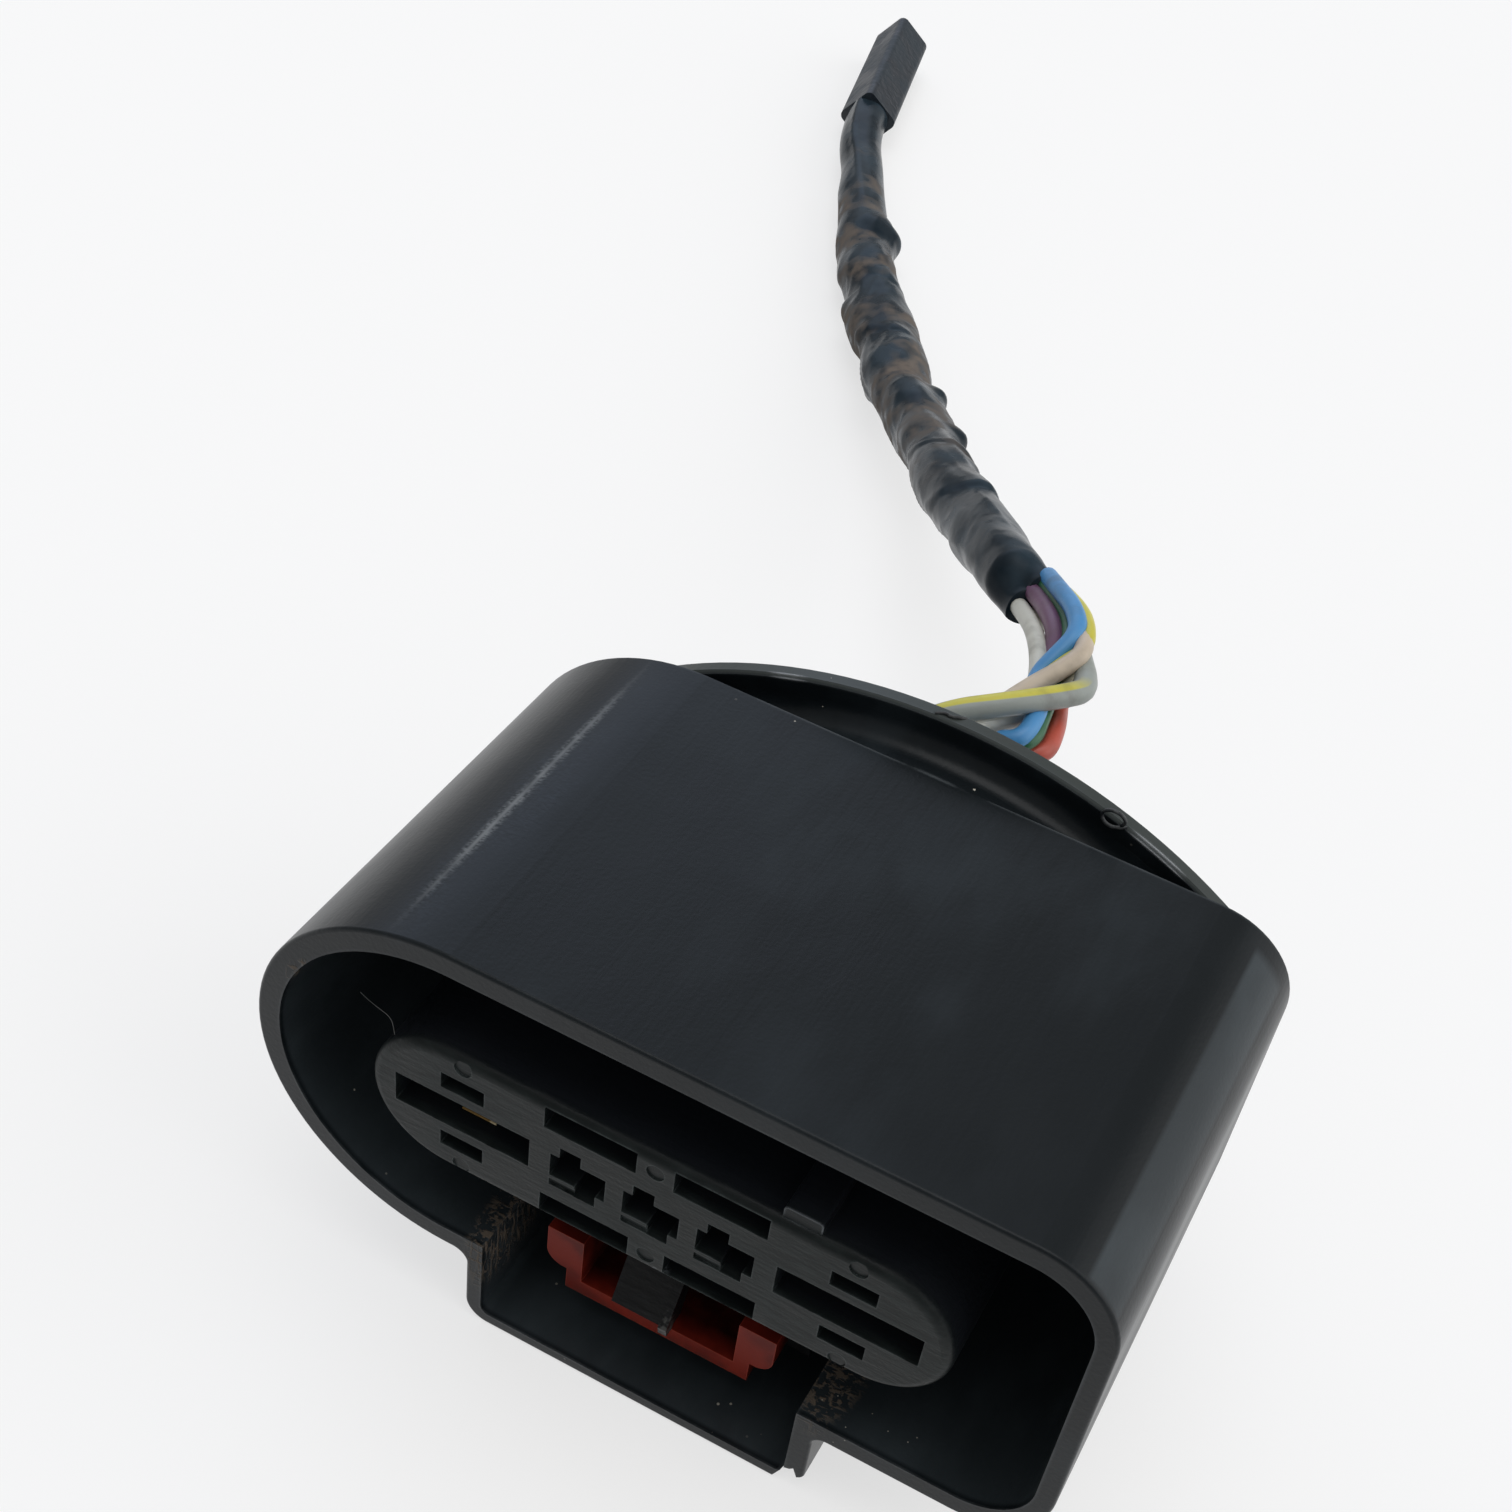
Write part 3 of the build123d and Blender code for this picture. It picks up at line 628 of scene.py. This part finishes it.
def lock_acetal(colour):
    """Red acetal, moulded: waxy, darker in the tray and further back, with grey dust held in its corners."""
    material, tree, shader = new_material("acetal_moulded_red")
    place = millimetres(tree)
    haze = clouds(tree, place, 4, detail=3.0)
    patches = clouds(tree, place, 2.2, detail=4.0, low=0.25, high=0.6)
    # Darker further back into the shroud and in the tray.
    darkening = product(
        tree,
        most(tree, along(tree, place, "Y", *TRAY_DEPTH), mark(tree, place, "tray_darkening")),
        between(tree, patches, 0.7, 1),
    )
    dust = product(tree, along(tree, place, "Z", *TRAY_FLOOR), clouds(tree, place, 1.2, detail=4.0))
    base = layered(
        tree, (*colour, 1),
        ("6E2016", haze),
        ("A84434", worn_edges(tree, 0.15)),
        ("220D0B", between(tree, darkening, 0, 0.92)),
        ("3A2A24", between(tree, dust, 0, 0.4)),
    )
    grain = clouds(tree, place, 0.4, detail=2.0, low=0.3, high=0.7)
    feed(tree, shader, {
        "Base Color": base, "Roughness": 0.42, "Normal": relief(tree, grain, 0.004), "IOR": 1.48,
        "Specular IOR Level": 0.15, "Subsurface Weight": 0.04, "Subsurface Radius": (0.002, 0.0006, 0.0004),
    })
    return material


def contact_bronze(name, colour, metallic):
    """Gold flashed bronze strip, stamped and rolled: bright, with fine stamping lines."""
    material, tree, shader = new_material("bronze_" + name)
    place = millimetres(tree)
    lines = clouds(tree, place, 0.2, (1, 0.03, 1), 2.0)
    dull = clouds(tree, place, 1.8, detail=3.0)
    feed(tree, shader, {
        "Base Color": layered(tree, (*colour, 1), ("8C6C34", dull)), "Metallic": metallic,
        "Roughness": between(tree, dull, 0.22, 0.40), "Normal": relief(tree, lines, 0.002),
    })
    return material


def wire_vinyl(name, colour, stripe=None):
    """Extruded vinyl insulation: smooth, faintly waxy, with handling dirt and, on one wire, a stripe."""
    material, tree, shader = new_material("vinyl_extruded_" + name)
    place = millimetres(tree)
    dirt = clouds(tree, place, 3, detail=4.0, low=0.44, high=0.75)
    base = (*colour, 1)
    if stripe:
        outward = add(tree, "ShaderNodeTexCoord").outputs["Normal"]
        turned = along(tree, place, "Y", STRIPE_END[1], STRIPE_END[0])
        band = product(tree, turned, facing(tree, outward, STRIPE_SIDE, 0.83, 0.89))
        base = tint(tree, base, paint(stripe), band)
    base = layered(tree, base, ("5A5448", product(tree, dirt, between(tree, dirt, 0.1, 0.35))))
    grain = clouds(tree, place, 0.5, detail=2.0)
    feed(tree, shader, {
        "Base Color": base, "Roughness": between(tree, dirt, 0.38, 0.52),
        "Normal": relief(tree, grain, 0.004), "IOR": 1.53, "Subsurface Weight": 0.04,
        "Subsurface Radius": (0.001, 0.001, 0.001),
    })
    return material


def harness_tape(colour):
    """Black vinyl harness tape, hand wound: glossy on its folds, with dried brown soil in the hollows."""
    material, tree, shader = new_material("vinyl_tape_wound_black")
    place = millimetres(tree)
    tone_lift = clouds(tree, place, 5, detail=3.0, low=0.4, high=0.7)
    stretch = product(
        tree,
        along(tree, place, "Y", *TAPE_SOIL_START),
        along(tree, place, "Y", *TAPE_SOIL_END),
    )
    soil = product(
        tree, between(tree, stretch, 0.04, 1),
        clouds(tree, place, 6, detail=2.0, low=0.42, high=0.66),
        clouds(tree, place, 1.5, detail=4.0, low=0.20, high=0.66),
    )
    base = layered(tree, (*colour, 1), ("2E3B44", tone_lift), ("82766B", between(tree, soil, 0, 0.72)))
    rough = most(tree, between(tree, tone_lift, 0.20, 0.28), between(tree, soil, 0.2, 0.75))
    fold = clouds(tree, place, 4.5, (1.5, 0.5, 1), 2.0, 0.34, 0.66)
    feed(tree, shader, {
        "Base Color": base, "Roughness": rough, "Normal": relief(tree, fold, 0.05), "IOR": 1.3,
        "Specular IOR Level": 0.15,
    })
    return material


def sleeve_rubber(colour):
    """Soft black rubber sleeve, extruded: dull, with a dusty bloom."""
    material, tree, shader = new_material("rubber_extruded_black")
    place = millimetres(tree)
    bloom = clouds(tree, place, 4, detail=4.0)
    crease = clouds(tree, place, 1.2, detail=3.0)
    feed(tree, shader, {
        "Base Color": layered(tree, (*colour, 1), ("1E2A33", bloom)),
        "Roughness": between(tree, bloom, 0.44, 0.56), "Normal": relief(tree, crease, 0.04), "IOR": 1.5,
    })
    return material


def debris_scrap(name, colour):
    """Thin scrap of nylon flash or a dusty fibre: dull, with paler worn spots."""
    material, tree, shader = new_material("scrap_" + name)
    worn = clouds(tree, millimetres(tree), 0.5, detail=3.0)
    feed(tree, shader, {
        "Base Color": layered(tree, (*colour, 1), ("6A6C6C", between(tree, worn, 0, 0.3))),
        "Roughness": between(tree, worn, 0.35, 0.6), "Normal": relief(tree, worn, 0.01),
    })
    return material


def floor_card(seen, lit, glow):
    """Pale matt card: near white to the camera and in reflections, and duller as a source of light."""
    material, tree, shader = new_material("card_matt_pale")
    ray = add(tree, "ShaderNodeLightPath").outputs
    direct = most(tree, ray["Is Camera Ray"], ray["Is Glossy Ray"], ray["Is Transmission Ray"])
    feed(tree, shader, {
        "Base Color": tint(tree, (*lit, 1), (*seen, 1), direct), "Emission Color": (1, 1, 1, 1),
        "Emission Strength": between(tree, direct, 0, glow), "Roughness": 0.9, "Specular IOR Level": 0,
    })
    return material


def dress(node, material):
    """Gives a frame node its material."""
    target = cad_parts[node]
    target.data.materials.clear()
    target.data.materials.append(material)


def link(name, data):
    """New object in the scene."""
    made = bpy.data.objects.new(name, data)
    bpy.context.scene.collection.objects.link(made)
    return made


def nurbs(name, points, radius=0.0):
    """Smooth open curve with the given control points in millimetres, and a round bevel in metres."""
    data = bpy.data.curves.new(name, "CURVE")
    data.dimensions = "3D"
    data.resolution_u = CURVE_STEPS
    data.bevel_depth = radius
    data.bevel_resolution = BEVEL_STEPS
    spline = data.splines.new("NURBS")
    spline.points.add(len(points) - 1)
    for point, place in zip(spline.points, points):
        point.co = (*(Vector(place) * MM), 1)
    spline.order_u = 3
    spline.use_endpoint_u = True
    return data


def line_of(points):
    """Points along the smooth curve of a route, in metres."""
    data = nurbs("route", points)
    carrier = link("route", data)
    mesh = bpy.data.meshes.new_from_object(carrier)
    line = [vertex.co.copy() for vertex in mesh.vertices]
    bpy.data.objects.remove(carrier)
    bpy.data.curves.remove(data)
    bpy.data.meshes.remove(mesh)
    return line


def length_of(line):
    return sum((b - a).length for a, b in zip(line, line[1:]))


def resample(line, count):
    """Evenly spaced points along a line, with their distance from its start."""
    total = length_of(line)
    result = []
    index = 0
    passed = 0.0
    for step in range(count):
        wanted = total * step / (count - 1)
        while index < len(line) - 2 and passed + (line[index + 1] - line[index]).length < wanted:
            passed += (line[index + 1] - line[index]).length
            index += 1
        run = line[index + 1] - line[index]
        share = min(1.0, (wanted - passed) / max(run.length, 1e-9))
        result.append((line[index] + run * share, wanted))
    return result


def frames_along(points):
    """Sideways and upward directions carried along a line without twist."""
    forward = (points[1] - points[0]).normalized()
    side = forward.cross(Vector((0, 0, 1))).normalized()
    result = []
    for before, after in zip([points[0], *points], [*points[1:], points[-1]]):
        forward = (after - before).normalized()
        side = (side - forward * side.dot(forward)).normalized()
        result.append((side, side.cross(forward)))
    return result


def tube_mesh(name, line, count, around, radius_at):
    """Closed tube along a line, with its radius in metres given by the distance and the angle."""
    stations = resample(line, count)
    frames = frames_along([point for point, _ in stations])
    mesh = bmesh.new()
    rings = []
    for (centre, distance), (side, up) in zip(stations, frames):
        ring = []
        for step in range(around):
            angle = math.tau * step / around
            radius = radius_at(distance, angle)
            ring.append(mesh.verts.new(centre + (side * math.cos(angle) + up * math.sin(angle)) * radius))
        rings.append(ring)
    for ring, following in zip(rings, rings[1:]):
        for step in range(around):
            right = (step + 1) % around
            mesh.faces.new((ring[step], following[step], following[right], ring[right]))
    mesh.faces.new(rings[0])
    mesh.faces.new(rings[-1][::-1])
    data = bpy.data.meshes.new(name)
    mesh.normal_update()
    mesh.to_mesh(data)
    mesh.free()
    for face in data.polygons:
        face.use_smooth = True
    return data


def block_mesh(name, corners):
    """Plain block between two corners in millimetres."""
    low, high = (Vector(corner) * MM for corner in corners)
    place = Matrix.Translation((low + high) / 2) @ Matrix.Diagonal((*(high - low), 1))
    mesh = bmesh.new()
    bmesh.ops.create_cube(mesh, size=1, matrix=place)
    data = bpy.data.meshes.new(name)
    mesh.to_mesh(data)
    mesh.free()
    return data


class PlugColours(bpy.types.PropertyGroup):
    """Colours of the plug's mouldings."""

    shroud: FloatVectorProperty(
        name="Shroud", description="Black of the shroud and the rear cover", subtype="COLOR", size=3,
        default=linear("14191C"), min=0.0, max=1.0,
    )
    worn: FloatVectorProperty(
        name="Worn edge", description="Grey of the rubbed edges", subtype="COLOR", size=3,
        default=linear("53585B"), min=0.0, max=1.0,
    )
    socket: FloatVectorProperty(
        name="Socket block", description="Dark grey of the socket block", subtype="COLOR", size=3,
        default=linear("191E1E"), min=0.0, max=1.0,
    )
    lock: FloatVectorProperty(
        name="Lock", description="Red of the sliding lock", subtype="COLOR", size=3,
        default=linear("8A2B1D"), min=0.0, max=1.0,
    )
    contact: FloatVectorProperty(
        name="Contacts", description="Gold of the contacts", subtype="COLOR", size=3,
        default=linear("C8A45C"), min=0.0, max=1.0,
    )
    # The tip's pale colour is a painted glint.
    contact_tip_glint: FloatVectorProperty(
        name="Contact tip", description="Bright rubbed gold of the tip that shows", subtype="COLOR", size=3,
        default=linear("FFF2C8"), min=0.0, max=1.0,
    )


class HarnessSizes(bpy.types.PropertyGroup):
    """Sizes and colours of the wires, the tape and the sleeve."""

    thick_wire: FloatProperty(
        name="Thick wire", description="Radius of the two thick wires", unit="LENGTH", subtype="DISTANCE",
        default=1.05 * MM, min=0.5 * MM, max=2 * MM,
    )
    medium_wire: FloatProperty(
        name="Medium wire", description="Radius of the medium wires", unit="LENGTH", subtype="DISTANCE",
        default=0.85 * MM, min=0.4 * MM, max=1.5 * MM,
    )
    thin_wire: FloatProperty(
        name="Thin wire", description="Radius of the two thin wires", unit="LENGTH", subtype="DISTANCE",
        default=0.65 * MM, min=0.3 * MM, max=1.2 * MM,
    )
    tape_mean: FloatProperty(
        name="Tape radius", description="Mean radius of the taped bundle", unit="LENGTH", subtype="DISTANCE",
        default=3.5 * MM, min=2 * MM, max=5 * MM,
    )
    tape_pitch: FloatProperty(
        name="Tape pitch", description="Advance of the tape in one turn", unit="LENGTH", subtype="DISTANCE",
        default=18 * MM, min=4 * MM, max=30 * MM,
    )
    debris: FloatProperty(
        name="Scrap", description="Radius of the thin scraps", unit="LENGTH", subtype="DISTANCE",
        default=0.12 * MM, min=0.02 * MM, max=0.5 * MM,
    )
    tape_colour: FloatVectorProperty(
        name="Tape", description="Black of the tape", subtype="COLOR", size=3,
        default=linear("1B262E"), min=0.0, max=1.0,
    )
    sleeve_colour: FloatVectorProperty(
        name="Sleeve", description="Black of the end sleeve", subtype="COLOR", size=3,
        default=linear("131D27"), min=0.0, max=1.0,
    )


class StageSettings(bpy.types.PropertyGroup):
    """Floor and light."""

    floor_colour: FloatVectorProperty(
        name="Floor", description="Colour of the card as it takes the shadow", subtype="COLOR", size=3,
        default=linear("A0A0A0"), min=0.0, max=1.0,
    )
    floor_shade: FloatVectorProperty(
        name="Floor light", description="Colour of the light thrown back", subtype="COLOR", size=3,
        default=linear("C8C8C8"), min=0.0, max=1.0,
    )
    floor_glow: FloatProperty(
        name="Floor white", description="White that the card adds to the camera and in reflections",
        default=0.645, min=0.0, max=1.0,
    )
    room: FloatProperty(
        name="Room", description="Strength of the light from all round", default=0.36, min=0.0, max=2.0,
    )
    ceiling: FloatProperty(
        name="Ceiling", description="Strength of the light from above", default=1.9, min=0.0, max=6.0,
    )
    window: FloatProperty(
        name="Window", description="Strength of the light from the window behind, at the left",
        default=1.3, min=0.0, max=6.0,
    )
    side: FloatProperty(
        name="Side", description="Strength of the light from the right", default=1.3, min=0.0, max=6.0,
    )


class PLUG_OT_dress_mouldings(bpy.types.Operator):
    """Give the shroud, cover, socket block and lock their plastics"""

    bl_idname = "plug.dress_mouldings"
    bl_label = "Dress Mouldings"

    def execute(self, context):
        colours = context.scene.plug_colours
        nylon = shroud_nylon(colours.shroud, colours.worn)
        dress("shroud", nylon)
        dress("rear_cover", nylon)
        dress("plug_body", socket_polyester(colours.socket))
        dress("lock_slide", lock_acetal(colours.lock))
        return {"FINISHED"}


class PLUG_OT_dress_contacts(bpy.types.Operator):
    """Give the nine contacts their metal, and one its tongue"""

    bl_idname = "plug.dress_contacts"
    bl_label = "Dress Contacts"

    def execute(self, context):
        colours = context.scene.plug_colours
        bronze = contact_bronze("stamped_gold_flash", colours.contact, 1.0)
        # Painted highlight: the tip's bronze is near white and half metallic, so that it shows as a glint in
        # the dark cavity.
        rubbed = contact_bronze("painted_glint", colours.contact_tip_glint, 0.3)
        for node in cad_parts:
            if node.startswith("contact_"):
                dress(node, bronze)
        tip = nurbs("contact_tip_glint", TIP_ROUTE, TIP_RADIUS * MM)
        tip.use_fill_caps = True
        tongue = block_mesh("contact_tongue", TONGUE_CORNERS)
        for name, data, metal in (("contact_tip_glint", tip, rubbed), ("contact_tongue", tongue, bronze)):
            data.materials.append(metal)
            piece = link(name, data)
            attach(piece, HOUSING)
        return {"FINISHED"}


def wire_radius(name, sizes):
    if name in THICK_WIRES:
        return sizes.thick_wire
    if name in THIN_WIRES:
        return sizes.thin_wire
    return sizes.medium_wire


class PLUG_OT_lay_wires(bpy.types.Operator):
    """Lay the nine wires from their contacts to the tape"""

    bl_idname = "plug.lay_wires"
    bl_label = "Lay Wires"

    def execute(self, context):
        sizes = context.scene.harness_sizes
        for name, route in WIRE_ROUTES.items():
            radius = wire_radius(name, sizes)
            data = nurbs("insulation_" + name, route, radius)
            data.use_fill_caps = True
            data.materials.append(wire_vinyl(name, linear(WIRE_COLOURS[name]), STRIPES.get(name)))
            wire = link("insulation_" + name, data)
            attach(wire, HOUSING)
            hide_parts("wire_" + name)
            length_of(line_of(route))
        return {"FINISHED"}


def girth(distance):
    """Radius of the taped bundle and its shift to the right at a distance from its mouth, in metres."""
    away = distance / MM
    for before, after in zip(TAPE_GIRTH, TAPE_GIRTH[1:]):
        if away <= after[0]:
            share = max(0.0, (away - before[0]) / (after[0] - before[0]))
            share = share * share * (3 - 2 * share)
            return tuple((a + (b - a) * share) * MM for a, b in zip(before[1:], after[1:]))
    return tuple(value * MM for value in TAPE_GIRTH[-1][1:])


def smooth_step(low, high, value):
    share = min(1.0, max(0.0, (value - low) / (high - low)))
    return share * share * (3 - 2 * share)


def ridged(place):
    """Noise with sharp crests, from 0 to 1."""
    return (1 - abs(noise.noise(place))) ** 3


def flap_height(away, angle):
    """Height in millimetres of the tape's loose edges, each of which ends just past its place."""
    height = 0.0
    for place, side, most_height in TAPE_FLAPS:
        if away < place + FLAP_END:
            spread = max(0.0, math.cos(angle - side)) ** FLAP_FOCUS
            height += most_height * math.exp(-((away - place) / FLAP_LENGTH) ** 2) * spread
    return height


def tape_radius(distance, angle, pitch):
    """Radius of the wound tape: lapped and creased over most of its length, and smooth near its end."""
    radius, shift = girth(distance)
    away = distance / MM
    round_x, round_y = math.cos(angle), math.sin(angle)
    started = MOUTH_SHARE + (1 - MOUTH_SHARE) * smooth_step(*WINDING_START, away)
    wound = (1 - smooth_step(*WINDING_END, away)) * started

    def spot(spread, length, start=0):
        """Place in a noise, by how fast it changes round the tape and its length along it."""
        return Vector((round_x * spread, round_y * spread, away / length + start))

    drift = noise.noise(Vector((away / DRIFT_LENGTH, DRIFT_START, 0)))
    turn = (distance / pitch - angle / math.tau + LAP_DRIFT * drift) % 1.0
    strength = LAP_STRENGTH + noise.noise(spot(*STRENGTH_NOISE))
    lap = max(0.0, strength) * smooth_step(0, LAP_RISE, turn) * (1 - turn) ** LAP_FALL
    lumps = noise.noise(spot(*LUMP_NOISE))
    crease = ridged(spot(*CREASE_NOISE, CREASE_SLANT * math.sin(angle + away / CREASE_WANDER)))
    grain = ridged(spot(*GRAIN_NOISE, GRAIN_START))
    side = angle - RIDGE_SIDE - RIDGE_TURN * (away - RIDGE_MIDDLE)
    ridge = smooth_step(*RIDGE_START, away) * math.exp(-(side / RIDGE_WIDTH) ** 2)
    height = wound * (
        LAP_HEIGHT * lap + LUMP_HEIGHT * lumps + CREASE_HEIGHT * (crease - CREASE_MEAN) + GRAIN_HEIGHT * grain
    )
    height += (1 - wound) * (END_LUMP_HEIGHT * lumps + END_GRAIN_HEIGHT * grain)
    height += END_RIDGE_HEIGHT * ridge + flap_height(away, angle) - MEAN_HEIGHT
    pressed = (1 - smooth_step(0, MOUTH_REACH, away)) * max(0.0, math.cos(angle - MOUTH_CLOSED))
    return (radius + shift * round_x + height * MM) * (1 - MOUTH_PRESS * pressed)


class PLUG_OT_wrap_tape(bpy.types.Operator):
    """Wind the tape round the bundle"""

    bl_idname = "plug.wrap_tape"
    bl_label = "Wrap Tape"

    def execute(self, context):
        sizes = context.scene.harness_sizes
        line = line_of(TAPE_ROUTE)

        def radius_at(distance, angle):
            return tape_radius(distance, angle, sizes.tape_pitch)

        data = tube_mesh("tape_winding", line, TAPE_RINGS, TAPE_RING_POINTS, radius_at)
        data.materials.append(harness_tape(sizes.tape_colour))
        tape = link("tape_winding", data)
        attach(tape, HOUSING)
        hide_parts("tape_wrap")
        return {"FINISHED"}


class PLUG_OT_dress_sleeve(bpy.types.Operator):
    """Give the end sleeve its rubber"""

    bl_idname = "plug.dress_sleeve"
    bl_label = "Dress Sleeve"

    def execute(self, context):
        dress("end_sleeve", sleeve_rubber(context.scene.harness_sizes.sleeve_colour))
        return {"FINISHED"}


class PLUG_OT_scatter_debris(bpy.types.Operator):
    """Add the curl of flash on the flange, the thread behind it and the hair on the plug"""

    bl_idname = "plug.scatter_debris"
    bl_label = "Scatter Debris"

    def execute(self, context):
        sizes = context.scene.harness_sizes
        for name, route, radius, colour in SCRAPS:
            data = nurbs(name, route, radius * sizes.debris)
            data.use_fill_caps = True
            data.materials.append(debris_scrap(name, linear(colour)))
            scrap = link(name, data)
            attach(scrap, HOUSING)
        return {"FINISHED"}


class PLUG_OT_set_stage(bpy.types.Operator):
    """Lay the floor, light the room and place the camera"""

    bl_idname = "plug.set_stage"
    bl_label = "Set Stage"

    def execute(self, context):
        stage = context.scene.stage_settings
        self.lay_floor(stage)
        self.light_sky(context, stage)
        self.place_camera(context)
        return {"FINISHED"}

    def lay_floor(self, stage):
        mesh = bmesh.new()
        bmesh.ops.create_grid(mesh, x_segments=1, y_segments=1, size=FLOOR_REACH)
        data = bpy.data.meshes.new("floor")
        mesh.to_mesh(data)
        mesh.free()
        data.materials.append(floor_card(stage.floor_colour, stage.floor_shade, stage.floor_glow))
        floor = link("floor", data)
        floor.location.z = cad_box[0].z - FLOOR_GAP * MM

    def light_sky(self, context, stage):
        """Soft room with a bright ceiling, a window behind at the left and a paler light at the right."""
        world = bpy.data.worlds.new("soft_room")
        world.use_nodes = True
        tree = world.node_tree
        tree.nodes.clear()
        way = add(tree, "ShaderNodeTexCoord").outputs["Generated"]
        pane = product(
            tree,
            facing(tree, way, WINDOW_SIDE, *WINDOW_SPREAD),
            facing(tree, way, ABOVE, *WINDOW_RISE),
        )
        strength = raised(
            tree,
            between(tree, facing(tree, way, FRONT, *FRONT_SPREAD), stage.room, stage.room * FRONT_SHARE),
            (facing(tree, way, ABOVE, *CEILING_SPREAD), stage.ceiling),
            (pane, stage.window),
            (facing(tree, way, RIGHT_SIDE, *SIDE_SPREAD), stage.side),
        )
        colour = tint(tree, (1, 1, 1, 1), paint("DCE8FF"), pane)
        sky = add(tree, "ShaderNodeBackground", {"Color": colour, "Strength": strength})
        add(tree, "ShaderNodeOutputWorld", {"Surface": sky.outputs["Background"]})
        context.scene.world = world
        context.scene.view_settings.view_transform = "Standard"

    def place_camera(self, context):
        aim = Vector(CAMERA_AIM).normalized()
        up = Vector(CAMERA_UP)
        up = (up - aim * up.dot(aim)).normalized()
        right = aim.cross(up)
        data = bpy.data.cameras.new("camera")
        data.sensor_width = CAMERA_SENSOR
        data.lens = CAMERA_LENS
        data.shift_x, data.shift_y = CAMERA_SHIFT
        data.clip_start = CAMERA_NEAR
        camera = link("camera", data)
        turn = Matrix((right, up, -aim)).transposed()
        camera.matrix_world = Matrix.Translation(Vector(CAMERA_PLACE) * MM) @ turn.to_4x4()
        context.scene.camera = camera


class PLUG_PT_panel(bpy.types.Panel):
    """Lists the plug's pieces and settings"""

    bl_label = "Plug"
    bl_idname = "PLUG_PT_panel"
    bl_space_type = "VIEW_3D"
    bl_region_type = "UI"
    bl_category = "Plug"

    def draw(self, context):
        layout = self.layout
        for group in (context.scene.plug_colours, context.scene.harness_sizes, context.scene.stage_settings):
            box = layout.box()
            for name in group.__annotations__:
                box.prop(group, name)
        for operator in OPERATORS:
            layout.operator(operator.bl_idname)


GROUPS = {"plug_colours": PlugColours, "harness_sizes": HarnessSizes, "stage_settings": StageSettings}
OPERATORS = (
    PLUG_OT_dress_mouldings,
    PLUG_OT_dress_contacts,
    PLUG_OT_lay_wires,
    PLUG_OT_dress_sleeve,
    PLUG_OT_wrap_tape,
    PLUG_OT_scatter_debris,
    PLUG_OT_set_stage,
)


def register():
    for name, group in GROUPS.items():
        bpy.utils.register_class(group)
        setattr(bpy.types.Scene, name, bpy.props.PointerProperty(type=group))
    for operator in OPERATORS:
        bpy.utils.register_class(operator)
    bpy.utils.register_class(PLUG_PT_panel)


def unregister():
    bpy.utils.unregister_class(PLUG_PT_panel)
    for operator in reversed(OPERATORS):
        bpy.utils.unregister_class(operator)
    for name, group in GROUPS.items():
        delattr(bpy.types.Scene, name)
        bpy.utils.unregister_class(group)


def main():
    """Builds every piece in order."""
    register()
    bpy.ops.plug.dress_mouldings()
    bpy.ops.plug.dress_contacts()
    bpy.ops.plug.lay_wires()
    bpy.ops.plug.dress_sleeve()
    bpy.ops.plug.wrap_tape()
    bpy.ops.plug.scatter_debris()
    bpy.ops.plug.set_stage()


if __name__ == "__main__":
    main()
